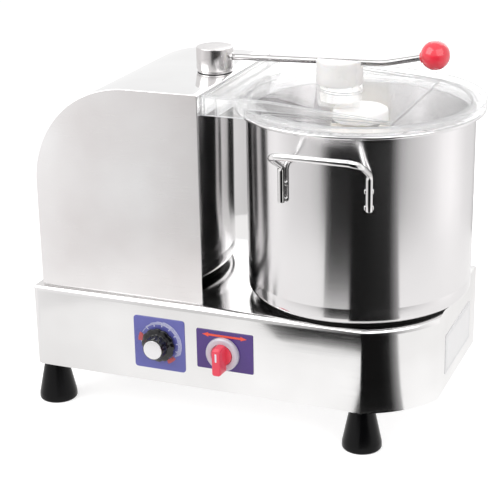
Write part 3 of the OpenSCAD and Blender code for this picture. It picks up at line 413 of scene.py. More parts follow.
def clear_plastic(name, colour, rough):
    """Clear moulded plastic. Upright walls and faces seen edge on are denser than flat ones, and they glow
    with a painted highlight.

    Light reaches what is under it: to shadow rays it is nearly open.
    """
    flat_open, edge_dense, wall_dense, shadow_share = 0.13, 0.8, 0.34, 0.12
    # painted highlight: upright walls and rims seen edge on glow by emission, not lit by any lamp
    wall_painted_glow, rim_painted_highlight = 0.30, 0.5
    m, n, l, p = blank(name)
    g = n.new("ShaderNodeGroup")
    g.node_tree = SKIN
    g.inputs["Scale"].default_value = 60.0
    l.new(ramp(n, l, g.outputs["Patches"], rough * 0.5, rough * 1.5), p.inputs["Roughness"])
    p.inputs["Base Color"].default_value = (*colour, 1)
    p.inputs["Transmission Weight"].default_value = 1.0
    p.inputs["IOR"].default_value = 1.49
    edge = n.new("ShaderNodeLayerWeight")
    edge.inputs["Blend"].default_value = 0.35
    facing = edge.outputs["Facing"]
    shape = n.new("ShaderNodeNewGeometry")
    part = n.new("ShaderNodeSeparateXYZ")
    l.new(shape.outputs["Normal"], part.inputs[0])
    flat = maths(n, l, "ABSOLUTE", part.outputs["Z"])
    body = ramp(n, l, facing, flat_open, edge_dense, 0.6, 1.0)
    walls = ramp(n, l, flat, wall_dense, 0.0, 0.1, 0.75)
    path = n.new("ShaderNodeLightPath")
    open_to_shadow = ramp(n, l, path.outputs["Is Shadow Ray"], 1.0, shadow_share, 0.0, 1.0)
    dense = maths(n, l, "MULTIPLY", maths(n, l, "MAXIMUM", body, walls), open_to_shadow)
    l.new(dense, p.inputs["Alpha"])
    # the painted highlight: an emission glow on upright walls and on rims seen edge on
    upright_painted_glow = ramp(n, l, flat, wall_painted_glow, 0.0, 0.1, 0.6)
    rim = ramp(n, l, facing, 0.0, rim_painted_highlight, 0.86, 1.0)
    l.new(maths(n, l, "MAXIMUM", upright_painted_glow, rim), p.inputs["Emission Color"])
    p.inputs["Emission Strength"].default_value = 1.0
    return m


# steel: name, colour, roughness, grain scale along X, Y and Z, then spread of roughness, strength of grain,
# scale of clouds, depth of grain, shade of clouds, anisotropy and its turn
# moulded: name, colour, roughness, relief, shade of patches, coat

MAT = {
    "tower": steel("steel_tower_satin", (0.96, 0.925, 0.92), 0.25, (25, 25, 1500), 0.03, 0.015, 7.0,
                   shade=0.12),
    "base": steel("steel_base_brushed", (0.92, 0.912, 0.908), 0.13, (14, 14, 2600), 0.06, 0.04, 6.0,
                  shade=0.15),
    "deck": steel("steel_plain", (0.80, 0.79, 0.79), 0.20, (500, 500, 500), 0.05, 0.1),
    "mirror": steel("steel_polished", (0.86, 0.855, 0.855), 0.045, (30, 30, 900), 0.02, 0.08, 12.0,
                    0.00001, 0.03),
    "bowl": steel("steel_bowl_polished", (0.84, 0.83, 0.835), 0.17, (40, 40, 1600), 0.02, 0.03, 10.0,
                  0.00001, 0.03, 0.9, 0.25),
    "head": steel("steel_turned", (0.72, 0.70, 0.70), 0.20, (50, 50, 5000), 0.06, 0.3),
    "rod": steel("steel_rod_drawn", (0.42, 0.41, 0.41), 0.20, (90, 3000, 3000), 0.05, 0.15),
    "zinc": steel("steel_plated", (0.66, 0.66, 0.67), 0.30, (700, 700, 700), 0.08, 0.1),
    "blade": steel("steel_blade_ground", (0.74, 0.74, 0.75), 0.16, (3000, 90, 60), 0.06, 0.3),
    "iron": steel("iron_machined", (0.32, 0.32, 0.33), 0.42, (900, 900, 90), 0.1, 0.3),
    "cast": steel("aluminium_cast", (0.62, 0.63, 0.64), 0.48, (900, 900, 900), 0.1, 0.6, depth=0.0001),
    "bronze": steel("bronze_turned", (0.62, 0.50, 0.28), 0.32, (60, 60, 3000), 0.08, 0.3),
    "disc": steel("aluminium_spun", (0.90, 0.89, 0.91), 0.28, (2500, 300, 2500), 0.06, 0.3),
    "rubber": moulded("rubber_black_gloss", (0.002, 0.002, 0.0025), 0.20, 0.05, 0.3, specular=0.18),
    "seal": moulded("rubber_black_dull", (0.003, 0.003, 0.003), 0.5, 0.1, 0.3, specular=0.15),
    "black": moulded("plastic_black_gloss", (0.005, 0.005, 0.007), 0.11, 0.05, 0.2, 0.3),
    "nylon": moulded("nylon_white", (0.955, 0.945, 0.93), 0.30, 0.06, 0.012, 0.2, subsurface=0.15),
    "cream": moulded("nylon_cream", (0.86, 0.82, 0.74), 0.42, 0.12, 0.03, subsurface=0.15),
    "bezel": moulded("plastic_silver_grey", (0.60, 0.56, 0.63), 0.25, 0.05, 0.03, 0.6),
    "ball": moulded("ball_red_gloss", (0.88, 0.035, 0.065), 0.14, 0.03, 0.05, 0.7),
    "grip": moulded("plastic_red", (0.84, 0.055, 0.10), 0.30, 0.05, 0.04, 0.3),
    "blue": moulded("plate_blue_film", (0.120, 0.125, 0.42), 0.30, 0.06, 0.05, 0.35),
    "purple": moulded("plate_purple_film", (0.070, 0.028, 0.205), 0.20, 0.06, 0.05, 0.3),
    "print_white": moulded("print_white", (0.78, 0.79, 0.88), 0.4, 0.0, 0.02),
    "print_red": moulded("print_red", (0.55, 0.10, 0.11), 0.4, 0.0, 0.05),
    "print_orange": moulded("print_orange", (0.88, 0.095, 0.05), 0.35, 0.0, 0.03),
    "pale": moulded("plate_pale_film", (0.94, 0.94, 0.945), 0.34, 0.05, 0.02),
    "pale_edge": moulded("plate_pale_border", (0.85, 0.85, 0.86), 0.34, 0.05, 0.02),
    "paint": moulded("motor_paint", (0.045, 0.055, 0.07), 0.35, 0.2, 0.1, 0.2),
    "board": moulded("board_green", (0.03, 0.16, 0.08), 0.5, 0.3, 0.2),
    # painted light and shade: the grey of the bars that draw the lid's edge lines
    "painted_edge_grey": moulded("plastic_grey_painted_edge_lines", (0.55, 0.55, 0.56), 0.25, 0.05, 0.05, 0.3),
    "clear": clear_plastic("plastic_clear", (0.985, 0.99, 0.99), 0.012),
}

# The finish of each CAD node, also of those that a piece of this script replaces
FINISH_NODES = {
    "base": ["base_shell", "tower_rear_cover"],
    "deck": ["base_bottom", "switch_bracket"],
    "tower": ["tower_shell"],
    "zinc": ["foot_screws", "rear_cover_screws", "motor_bearings", "motor_bolts", "spindle_bearings",
             "housing_bolts", "post_spring", "lid_switch_arm"],
    "black": ["cord_gland", "motor_fan", "lid_switch", "speed_control", "switch_body", "speed_knob"],
    "paint": ["motor_frame"],
    "cast": ["motor_lower_shield", "motor_upper_shield", "bearing_housing"],
    "iron": ["motor_rotor", "drive_pulley", "driven_pulley", "hub_washer"],
    "seal": ["drive_belt", "shaft_seal", "bowl_seat_ring", "post_washer"],
    "blade": ["spindle", "lower_blade", "upper_blade"],
    "mirror": ["bowl_tube", "clamp_post", "front_handle", "rear_handle", "lever_rod"],
    "nylon": ["blade_spacer", "blade_clamp_ring", "hub_cap_nut", "feed_cap"],
    "clear": ["lid", "feed_tube"],
    "bronze": ["post_guide"],
    "board": ["control_board"],
    "pale": ["side_plate"],
    "bowl": ["bowl"],
    "cream": ["blade_hub"],
    "head": ["post_head"],
    "ball": ["ball_knob"],
    "blue": ["dial_plate"],
    "purple": ["switch_plate"],
    "bezel": ["switch_bezel"],
    "grip": ["switch_handle"],
    "rubber": ["foot_front_left", "foot_front_right", "foot_rear_left", "foot_rear_right"],
}
CAD_FINISH = {node: finish for finish, nodes in FINISH_NODES.items() for node in nodes}


def finish_cad_nodes():
    """Gives every CAD node its finish. Welded and split at its edges, a node is smooth on its curves."""
    for name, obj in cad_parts.items():
        obj.data.materials.clear()
        obj.data.materials.append(MAT[CAD_FINISH[name]])
        obj.data.polygons.foreach_set("use_smooth", np.ones(len(obj.data.polygons), bool))
        weld = obj.modifiers.new("weld", "WELD")
        weld.merge_threshold = WELD
        split = obj.modifiers.new("edges", "EDGE_SPLIT")
        split.split_angle = math.radians(SHARP)


finish_cad_nodes()

# Measures taken from the CAD nodes, and the bowl's radii, which its box doesn't tell apart from its handles

BOWL_LOW, BOWL_HIGH = span("bowl")
BX = middle("bowl")[0]
Z_RIM = BOWL_HIGH[2]
RIM_R = 131.0
BOWL_R = 120.0
DECK_Z = span("base_shell")[1][2]
TOWER_LOW, TOWER_HIGH = span("tower_shell")
FRONT_Y = span("base_shell")[0][1]

# (inset, height) steps of the two front plates, whose edge is bevelled a little
PLATE_STEPS = [(0, 0), (0, 0.8), (0.2, 1.0)]


def make_tower():
    """The tower's folded sheet: its front outline carried back, with a small fold round the front."""
    low, high = TOWER_LOW, TOWER_HIGH
    left_r, right_r, fold_r, wall = 112.0, 2, 0.7, 1.5
    brushed_below = -0.6
    hem_z, hem_h, hem_out = 1.6, 1.1, 0.7
    corner = arc((high[0] - right_r, high[2] - right_r), right_r, 0, 90, 5)
    shoulder = arc((low[0] + left_r, high[2] - left_r), left_r, 90, 180, 48)
    loop = np.concatenate([[(low[0], low[2])], [(high[0], low[2])], corner, shoulder])
    turn = np.linspace(0, math.pi / 2, 6)
    fold = [(fold_r * (1 - math.sin(t)), fold_r * (1 - math.cos(t))) for t in turn]
    depth = high[1] - low[1]
    steps = [(d, depth - h) for d, h in fold] + [(0.0, 0.0), (wall, 0.0), (wall, depth - wall)]
    shell = slab(loop, steps, "front", -high[1])
    tower = piece("tower_folded_sheet", [shell], MAT["tower"], "frame", ["tower_shell"], 28)
    # only the front is brushed: every face whose normal doesn't point to the front is polished
    tower.data.materials.append(MAT["mirror"])
    normals = np.empty(len(tower.data.polygons) * 3)
    tower.data.polygons.foreach_get("normal", normals)
    polished = (normals.reshape(-1, 3)[:, 1] > brushed_below).astype(np.int32)
    tower.data.polygons.foreach_set("material_index", polished)
    # the hem along the foot of the front
    strip = round_loop((low[0] + high[0]) / 2, low[2] + hem_z, high[0] - low[0] - 1.0, hem_h, 0.4, 4)
    hem = slab(strip, soft_steps(0, hem_out, 0.25), "front", -low[1])
    piece("tower_foot_hem", [hem], MAT["deck"], "frame", ())


def make_bowl():
    """The bowl: a thin wall turned about the bowl axis, with a rolled rim and a faint ring near its foot."""
    z0 = BOWL_LOW[2]
    r, wall, corner = BOWL_R, 1.5, 7.0
    hole_r, floor = 23.0, 2.0
    ring_z, ring_r = z0 + 16.5, r - 0.08
    neck_r, roll_r, lip_r = 2.5, 2.3, 2.0
    seat_in, seat_out, seat_h = 102, 108, 7

    def bend(x, z, radius, start, stop, n):
        return list(map(tuple, arc((x, z), radius, start, stop, n)))

    outer = [(hole_r, z0), (r - corner, z0)]
    outer += bend(r - corner, z0 + corner, corner, -90, 0, 20)[1:]
    outer += [(r, ring_z), (ring_r, ring_z + 0.5), (ring_r, ring_z + 1.1), (r, ring_z + 1.6)]
    outer += [(r, Z_RIM - 6.5)]
    outer += bend(r + neck_r, Z_RIM - 5.6, neck_r, 180, 90, 8)[1:]
    outer += [(RIM_R - 3.0, Z_RIM - 3.1)]
    outer += bend(RIM_R - roll_r, Z_RIM - roll_r, roll_r, -90, 90, 14)
    outer += [(r + 1.5, Z_RIM)]
    inner = bend(r - wall + lip_r, Z_RIM - lip_r, lip_r, 90, 180, 6)
    inner += [(r - wall, z0 + corner)]
    inner += bend(r - corner, z0 + corner, corner - wall, 0, -80, 12)[1:]
    inner += [(r - corner, z0 + floor), (hole_r, z0 + floor)]
    piece("bowl_wall", [turned(outer + inner, (BX, 0, 0), "z", 192)], MAT["bowl"], "frame", ["bowl"],
          25)
    seat = ring_section(seat_in, seat_out, DECK_Z, DECK_Z + seat_h, 0.8)
    piece("bowl_seat", [turned(seat, (BX, 0, 0), "z", 128)], MAT["seal"], "frame", ["bowl_seat_ring"])


def make_handle(name, node, turn):
    """A handle: one rod bent up the wall, outwards and across, with weld beads along its two legs."""
    leg_x, rod_r = 46.0, 3.5
    wall = -math.sqrt((BOWL_R + rod_r + 0.1) ** 2 - leg_x ** 2)
    low, knee = Z_RIM - 79, Z_RIM - 41
    reach, lean = 42.0, math.radians(30)
    knee_r, corner_r = 9, 13
    bead_r, bead_h, bead_side, bead_centre = 1.5, 4.8, 0.028, BOWL_R + 0.4
    y_bar, z_bar = wall - reach * math.cos(lean), knee + reach * math.sin(lean)
    corners = [(-leg_x, wall, low), (-leg_x, wall, knee), (-leg_x, y_bar, z_bar), (leg_x, y_bar, z_bar),
               (leg_x, wall, knee), (leg_x, wall, low)]
    path = smooth_path(corners, [knee_r, corner_r, corner_r, knee_r], 12)
    shells = [rod(path, rod_r, 32)]
    bead = ring_section(0.0, bead_r, -bead_h / 2, bead_h / 2, [0, 1.2, 1.2, 0], 5)
    for side in (-1, 1):
        for z in (low + 3.0, low + 20.0):
            for edge in (-1, 1):
                a = math.atan2(wall, side * leg_x) + edge * bead_side
                at = (bead_centre * math.cos(a), bead_centre * math.sin(a), z)
                shells.append(turned(bead, at, "z", 16))
    c, s = math.cos(turn), math.sin(turn)
    turned_shells = [(p @ np.array([[c, s, 0], [-s, c, 0], [0, 0, 1]]) + [BX, 0, 0], f) for p, f in shells]
    piece(name, turned_shells, MAT["mirror"], "frame", [node])


def make_feed_tube_and_cap():
    """The clear feed tube and the white cap with its groove for the lever: a turned body and a front lip."""
    low, high = span("feed_tube")
    cx = (low[0] + high[0]) / 2
    r = (high[0] - low[0]) / 2
    tube_wall, groove_deep, lip_back, lip_r = 3, 7.5, -3.65, 2.6
    tube = ring_section(r - tube_wall, r, low[2], high[2], 0.7)
    piece("feed_tube_clear", [turned(tube, (cx, 0, 0), "z", 96)], MAT["clear"], "frame", ["feed_tube"])
    cap_low, cap_high = span("feed_cap")
    cap_r = (cap_high[0] - cap_low[0]) / 2
    groove = cap_high[2] - groove_deep
    plug = r - 3.5
    body = rounded_profile([(0, cap_low[2]), (plug, cap_low[2]), (plug, high[2]), (cap_r, high[2]),
                            (cap_r, groove), (0, groove)], [0, 1.5, 0.3, 1.0, 1.6, 0], 6)
    start = math.degrees(math.asin(lip_back / cap_r))
    lip = arc((cx, 0), cap_r, -180 - start, start, 48)
    steps = [(0.0, groove - 2.0)]
    steps += [(lip_r * (1 - math.cos(t)), cap_high[2] - lip_r * (1 - math.sin(t)))
              for t in np.linspace(0, math.pi / 2, 7)]
    piece("feed_cap_white", [turned(body, (cx, 0, 0), "z", 96), slab(lip, steps)], MAT["nylon"], "frame",
          ["feed_cap"], 40)


def make_lid_painted_edge_lines():
    """Grey bars along the sharp edges of the clear lid: painted lines that stand in for the light and shade
    its rounded edges catch.

    Two triangles of the lid meet sharply where the dot product of their normals is small. Along each such
    edge runs a six-sided bar, set inwards against the sum of the two normals by a little over its radius.
    """
    sharp_degrees, radius, sink = 40, 0.42, 1.3
    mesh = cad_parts["lid"].data
    pts = np.empty(len(mesh.vertices) * 3)
    mesh.vertices.foreach_get("co", pts)
    pts = pts.reshape(-1, 3) / MM
    mesh.calc_loop_triangles()
    tris = np.empty(len(mesh.loop_triangles) * 3, dtype=np.int64)
    mesh.loop_triangles.foreach_get("vertices", tris)
    _, first, same = np.unique(np.round(pts, 3), axis=0, return_index=True, return_inverse=True)
    pts = pts[first]
    tris = same.reshape(-1)[tris].reshape(-1, 3)
    normal = np.cross(pts[tris[:, 1]] - pts[tris[:, 0]], pts[tris[:, 2]] - pts[tris[:, 0]])
    size = np.linalg.norm(normal, axis=1)
    tris, normal = tris[size > 1e-6], (normal / np.maximum(size, 1e-9)[:, None])[size > 1e-6]
    sides = np.sort(np.concatenate([tris[:, [0, 1]], tris[:, [1, 2]], tris[:, [2, 0]]]), axis=1)
    owner = np.tile(np.arange(len(tris)), 3)
    order = np.lexsort((sides[:, 1], sides[:, 0]))
    sides, owner = sides[order], owner[order]
    pair = np.flatnonzero((sides[1:] == sides[:-1]).all(axis=1))
    one, two = normal[owner[pair]], normal[owner[pair + 1]]
    sharp = (one * two).sum(axis=1) < math.cos(math.radians(sharp_degrees))
    a, b = pts[sides[pair[sharp], 0]], pts[sides[pair[sharp], 1]]
    inward = -(one[sharp] + two[sharp])
    inward /= np.maximum(np.linalg.norm(inward, axis=1), 1e-9)[:, None]
    a, b = a + inward * radius * sink, b + inward * radius * sink
    along = (b - a) / np.maximum(np.linalg.norm(b - a, axis=1), 1e-9)[:, None]
    across = np.cross(along, inward)
    turn = np.arange(6) / 6 * TAU
    ring = np.cos(turn)[:, None] * across[:, None, :] + np.sin(turn)[:, None] * inward[:, None, :]
    bars = np.stack([a[:, None, :] + ring * radius, b[:, None, :] + ring * radius], axis=1)
    start = (np.arange(len(a)) * 12)[:, None, None]
    k = np.arange(6)
    quads = np.stack([k, 6 + k, 6 + (k + 1) % 6, (k + 1) % 6], axis=1)[None] + start
    ends = np.array([[0, 1, 2, 3], [0, 3, 4, 5], [9, 8, 7, 6], [11, 10, 9, 6]])[None] + start
    faces = np.concatenate([quads, ends], axis=1).reshape(-1, 4)
    # the bars are painted edge lines of light and shade, not real rounded edges
    piece("lid_painted_edge_lines", [(bars.reshape(-1, 3), faces)], MAT["painted_edge_grey"], "frame", ())


def make_lever():
    """The post head, the washer under it, the lever rod with its soft bend, and the ball with its collar."""
    low, high = span("post_head")
    px, r = (low[0] + high[0]) / 2, (high[0] - low[0]) / 2
    foot_r, foot_z = r - 0.6, low[2] + 1.2
    head = rounded_profile([(0, low[2]), (foot_r, low[2]), (foot_r, foot_z), (r, foot_z), (r, high[2]),
                            (0, high[2])], [0, 0.2, 0.1, 0.4, 1.0, 0], 5)
    piece("post_head_turned", [turned(head, (px, 0, 0), "z", 96)], MAT["head"], "lever", ["post_head"],
          30)
    # the washer: a thin seal with a steel face on it
    washer_low, washer_high = span("post_washer")
    bore, seal_r, face_r, seam = 7.4, 19, 18.8, washer_low[2] + 0.9
    seal = ring_section(bore, seal_r, washer_low[2], seam, 0.3)
    piece("post_washer_seal", [turned(seal, (px, 0, 0), "z", 64)], MAT["seal"], "frame", ["post_washer"])
    face = ring_section(bore, face_r, seam, washer_high[2], 0.3)
    piece("post_washer_face", [turned(face, (px, 0, 0), "z", 96)], MAT["head"], "frame", ())
    # the rod rises gently from inside the head to its bend, then more steeply to the ball
    rod_low, rod_high = span("lever_rod")
    rad = (rod_high[1] - rod_low[1]) / 2
    rise, climb = math.radians(1.6), math.radians(12.5)
    inside, bend_r, beyond, ball_at, ball_r, flat = 12, 90, 49, 55, 15.0, 0.38
    start = np.array([px + inside * math.cos(rise), 0, rod_low[2] + rad * math.cos(rise)])
    bend_x = BX + 25
    bend = np.array([bend_x, 0, start[2] + (bend_x - start[0]) * math.tan(rise)])
    way = np.array([math.cos(climb), 0, math.sin(climb)])
    path = smooth_path([start, bend, bend + way * beyond], [bend_r], 18)
    piece("lever_rod_bent", [rod(path, rad, 32)], MAT["rod"], "lever", ["lever_rod"])
    side = np.cross([0, 1, 0], way)
    t = np.linspace(-math.pi / 2 + flat, math.pi / 2, 44)
    collar_r = 5.5
    body = [(0.0, -ball_r), (collar_r, -ball_r), (collar_r, -ball_r * math.cos(flat))]
    body += [(ball_r * math.cos(a), ball_r * math.sin(a)) for a in t]
    pts, faces = turned(body, (0, 0, 0), "z", 72)
    axes = np.array([side, [0, 1, 0], way])
    piece("ball_knob_red", [(pts @ axes + bend + way * ball_at, faces)], MAT["ball"], "lever", ["ball_knob"],
          40)
    # the collar where the rod enters the head
    pts, faces = turned(ring_section(rad, rad + 1.4, 0, 1.6, 0.4), (0, 0, 0), "x", 48)
    c, s = math.cos(rise), math.sin(rise)
    pts = pts @ np.array([[c, 0, s], [0, 1, 0], [-s, 0, c]])
    at = start + (r - 0.4 - inside) * np.array([c, 0, s])
    piece("lever_rod_collar", [(pts + at, faces)], MAT["mirror"], "lever", ())


def make_feet():
    """The four rubber feet: a cone with a rounded lip below and a recess for its screw."""
    recess_r, recess_z, screw_r, foot_r, top_r, top_z = 8, 14, 3.2, 20.6, 12.6, 50
    profile = rounded_profile([(recess_r, 0), (foot_r, 0), (21.5, 2.0), (21.2, 7.0), (top_r, 48.4),
                               (top_r, top_z), (screw_r, top_z), (screw_r, recess_z), (recess_r, recess_z)],
                              [0.5, 1.2, 1.6, 3.0, 0.8, 0.4, 0.2, 0.2, 0.2], 5)
    for side in ("front", "rear"):
        for end in ("left", "right"):
            node = f"foot_{side}_{end}"
            x, y, _ = middle(node)
            piece(node + "_cone", [turned(profile, (x, y, 0), "z", 72)], MAT["rubber"], "frame", [node],
                  40)


def make_blade_carrier():
    """The white nut, and the cream carrier under it with its square block and the dot of a screw hole."""
    low, high = span("hub_cap_nut")
    bore, nut_r, nut_z, recess_z = 8, 29.3, low[2] + 0.2, high[2] - 4.5
    nut = rounded_profile([(bore, nut_z), (nut_r, nut_z), (nut_r, high[2]), (0, high[2]), (0, recess_z),
                           (bore, recess_z)], [0.1, 0.5, 4.2, 0, 0, 0.1], 7)
    piece("hub_nut_white", [turned(nut, (BX, 0, 0), "z", 96)], MAT["nylon"], "cutter", ["hub_cap_nut"])
    low, high = span("blade_hub")
    block_z, block_w, block_d = high[2] - 23, 52, 40
    block = slab(round_loop(BX, 0, block_w, block_d, 1.5, 5), soft_steps(block_z, high[2], 0.8))
    inner_r, sleeve_r, flange_r, flange_z = 24.5, 29.3, 34, low[2] + 4
    sleeve = rounded_profile([(inner_r, low[2]), (flange_r, low[2]), (flange_r, flange_z),
                              (sleeve_r, flange_z), (sleeve_r, block_z), (inner_r, block_z)],
                             [0.4, 0.6, 0.6, 0.3, 0.1, 0.1], 4)
    hole = ring_section(1.1, 2.6, 0, 0.5, 0.15, 3)
    dot = turned(hole, (BX - 21, -block_d / 2, block_z + 18), "front", 24)
    piece("blade_carrier_cream", [block, turned(sleeve, (BX, 0, 0), "z", 96), dot], MAT["cream"], "cutter",
          ["blade_hub"], 40)


def printed(name, loops, y, material, body, thick=0.12):
    """Flat prints on a face towards the viewer: outlines in X, Z raised by their ink."""
    shells = [slab(loop, [(0, -0.02), (0, thick)], "front", -y) for loop in loops]
    piece(name, shells, material, body, (), 60)


def band(cx, cz, r0, r1, a0, a1, n=24):
    """Outline of a part of a ring between two radii and two angles."""
    return np.concatenate([arc((cx, cz), r1, a0, a1, n), arc((cx, cz), r0, a1, a0, n)])


def make_dial():
    """The blue dial plate with its printed scale, and the black knob with its fluted skirt and spun disc."""
    low, high = span("dial_plate")
    cx, cz = (low[0] + high[0]) / 2, (low[2] + high[2]) / 2
    w = high[0] - low[0]
    plate = slab(round_loop(cx, cz, w, w, 3.5, 7), PLATE_STEPS, "front", -FRONT_Y)
    piece("dial_plate_film", [plate], MAT["blue"], "frame", ["dial_plate"], 40)
    # the print: ticks, five thin arcs that widen outwards, and a red block at each end of the scale
    y = low[1]
    zc = cz + 0.5
    tick_angles = np.linspace(205, -45, 11)
    arc_radii = (22.3, 23.2, 24.1, 25.0, 25.9)
    marks = [band(cx, zc, 19.8, 21.9, a - 1.2, a + 1.2, 3) for a in tick_angles]
    marks += [band(cx, zc, r, r + 0.35, 150 - 18 * k, -36 + 3 * k, 60) for k, r in enumerate(arc_radii)]
    printed("dial_scale_white", marks, y, MAT["print_white"], "frame")
    ends = [band(cx, zc, 20.2, 25.2, 154, 178, 20), band(cx, zc, 20.0, 24.6, -66, -40, 20)]
    printed("dial_ends_red", ends, y, MAT["print_red"], "frame")
    # the knob: flutes are pressed into its grip, and fade out before its skirt
    front_z, skirt_r, grip_r = 18.6, 19.3, 12.0
    flutes, flute_deep, flute_from_r, flute_end = 12, 0.05, 10.6, 18.9
    profile = rounded_profile([(0, 2.3), (18.0, 2.3), (skirt_r, 3.4), (skirt_r, 5.6), (16.5, 7.0),
                               (13.4, 7.6), (grip_r, front_z), (0, front_z)],
                              [0, 0.6, 0.8, 0.8, 1.0, 1.2, 1.6, 0], 5)
    pts, faces = turned(profile, (0, 0, 0), "front", 144)
    a = np.arctan2(pts[:, 2], pts[:, 0])
    depth = (np.hypot(pts[:, 0], pts[:, 2]) > flute_from_r) * np.clip((flute_end + pts[:, 1]) / 2.0, 0, 1)
    wave = 0.5 - 0.5 * np.cos(flutes * a)
    scale = 1 - depth * flute_deep * wave ** 2
    pts = pts * np.stack([scale, np.ones_like(scale), scale], -1) + [cx, FRONT_Y, cz]
    piece("speed_knob_fluted", [(pts, faces)], MAT["black"], "knob", ["speed_knob"], 35)
    disc = rounded_profile([(0, 18.2), (10.6, 18.2), (10.6, 19.1), (0, 19.3)], [0, 0.1, 0.35, 0], 5)
    piece("speed_knob_disc", [turned(disc, (cx, FRONT_Y, cz), "front", 72)], MAT["disc"], "knob", ())
    mark = band(cx, cz, 15.2, 18.6, 213, 219, 4)
    printed("speed_knob_mark", [mark], FRONT_Y - 6.9, MAT["print_white"], "knob", 0.15)


def make_switch():
    """The purple plate with its double arrow, the silver grey bezel and the red turn handle with its grip."""
    low, high = span("switch_plate")
    cx, cz = (low[0] + high[0]) / 2, (low[2] + high[2]) / 2
    w, h = high[0] - low[0], high[2] - low[2]
    plate = slab(round_loop(cx, cz, w, h, 1.6, 5), PLATE_STEPS, "front", -FRONT_Y)
    piece("switch_plate_film", [plate], MAT["purple"], "frame", ["switch_plate"], 40)
    # the double arrow: a thin line with a head at each end
    half, head, head_h, line_h, z = 25.5, 7, 2.6, 1.2, cz + 17.2
    left, right = cx - half, cx + half
    arrow = np.array([(left, z), (left + head, z - head_h), (left + head, z - line_h),
                      (right - head, z - line_h), (right - head, z - head_h), (right, z),
                      (right - head, z + head_h), (right - head, z + line_h), (left + head, z + line_h),
                      (left + head, z + head_h)])
    printed("switch_arrow_orange", [arrow], low[1], MAT["print_orange"], "frame")
    ax, _, az = middle("switch_bezel")
    ring = rounded_profile([(11.8, 1.0), (19.0, 1.0), (18.6, 4.6), (17.0, 6.0), (12.6, 6.0), (11.8, 5.2)],
                           [0.1, 0.3, 0.8, 0.8, 0.6, 0.3], 5)
    piece("switch_bezel_ring", [turned(ring, (ax, FRONT_Y, az), "front", 96)], MAT["bezel"], "frame",
          ["switch_bezel"])
    disc = ring_section(0, 11.5, 1.4, 6.2, [0, 0.2, 0.5, 0], 5)
    grip_w, grip_h, front = 11, 31, 21.2
    grip_steps = [(0.0, 5.6), (0.3, 12.0), (0.6, 19.6), (0.9, 20.6), (1.6, front)]
    grip = slab(round_loop(ax, az - 3, grip_w, grip_h, 3.4, 7), grip_steps, "front", -FRONT_Y)
    piece("switch_handle_red", [turned(disc, (ax, FRONT_Y, az), "front", 64), grip], MAT["grip"], "selector",
          ["switch_handle"], 40)
    mark = round_loop(ax, az + 3.2, 2.0, 9.5, 0.6, 4)
    printed("switch_handle_mark", [mark], FRONT_Y - front, MAT["print_white"], "selector")


def make_side_plate():
    """The pale plate on the flat end, with its slightly darker border."""
    low, high = span("side_plate")
    cy, cz = (low[1] + high[1]) / 2, (low[2] + high[2]) / 2
    w, h = high[1] - low[1], high[2] - low[2]
    border = 4.5
    outer = slab(round_loop(cy, cz, w, h, 1.5, 5), [(0, 0), (0, 0.7), (0.15, 0.85)], "right", low[0])
    field_loop = round_loop(cy, cz, w - 2 * border, h - 2 * border, 1.0, 5)
    inner = slab(field_loop, [(0, 0.8), (0, 0.95), (0.05, 1.0)], "right", low[0])
    piece("side_plate_border", [outer], MAT["pale_edge"], "frame", ["side_plate"], 40)
    piece("side_plate_field", [inner], MAT["pale"], "frame", (), 40)


make_tower()
make_bowl()
make_handle("front_handle_rod", "front_handle", 0.0)
make_handle("rear_handle_rod", "rear_handle", math.pi)
make_feed_tube_and_cap()
make_lid_painted_edge_lines()
make_lever()
make_feet()
make_blade_carrier()
make_dial()
make_switch()
make_side_plate()

# Floor, light and camera

WARM_WHITE = (1.0, 0.99, 0.985)


def emission(nodes, colour, strength):
    """An emission shader of one colour and strength."""
    e = nodes.new("ShaderNodeEmission")
    e.inputs["Color"].default_value = (*colour, 1)
    e.inputs["Strength"].default_value = strength
    return e.outputs[0]


def bare(data, output="ShaderNodeOutputMaterial"):
    """The emptied node tree of a material or a world: its nodes, links and its output's surface socket."""
    data.use_nodes = True
    nodes = data.node_tree.nodes
    nodes.clear()
    return nodes, data.node_tree.links, nodes.new(output).inputs[0]


def make_floor():
    """A plain pale floor that stays nearly white to the camera and keeps the soft shadow of the machine.

    The camera sees it with a glow of its own, mirrors see one even white, and all else sees it pale grey.
    """
    half, below, grey, glow, mirror_level = 6.0, -0.0002, 0.8, 0.56, 0.975
    mesh = bpy.data.meshes.new("floor")
    corners = [(x * half, y * half, below) for x, y in ((-1, -1), (1, -1), (1, 1), (-1, 1))]
    mesh.from_pydata(corners, [], [(0, 1, 2, 3)])
    floor = bpy.data.objects.new("floor", mesh)
    bpy.context.scene.collection.objects.link(floor)
    m = bpy.data.materials.new("floor_white")
    n, l, surface = bare(m)
    soft = n.new("ShaderNodeBsdfDiffuse")
    soft.inputs["Color"].default_value = (grey, grey, grey, 1)
    lit = n.new("ShaderNodeAddShader")
    l.new(soft.outputs[0], lit.inputs[0])
    l.new(emission(n, (1, 1, 1), glow), lit.inputs[1])
    path = n.new("ShaderNodeLightPath").outputs
    seen = maths(n, l, "MAXIMUM", path["Is Camera Ray"], path["Is Transmission Ray"])
    even = emission(n, WARM_WHITE, mirror_level)
    mirrored = mixed(n, l, path["Is Glossy Ray"], soft.outputs[0], even)
    l.new(mixed(n, l, seen, mirrored, lit.outputs[0]), surface)
    mesh.materials.append(m)


# Brightness that mirrors see by bearing round the bowl axis: degrees from the front towards the right, level

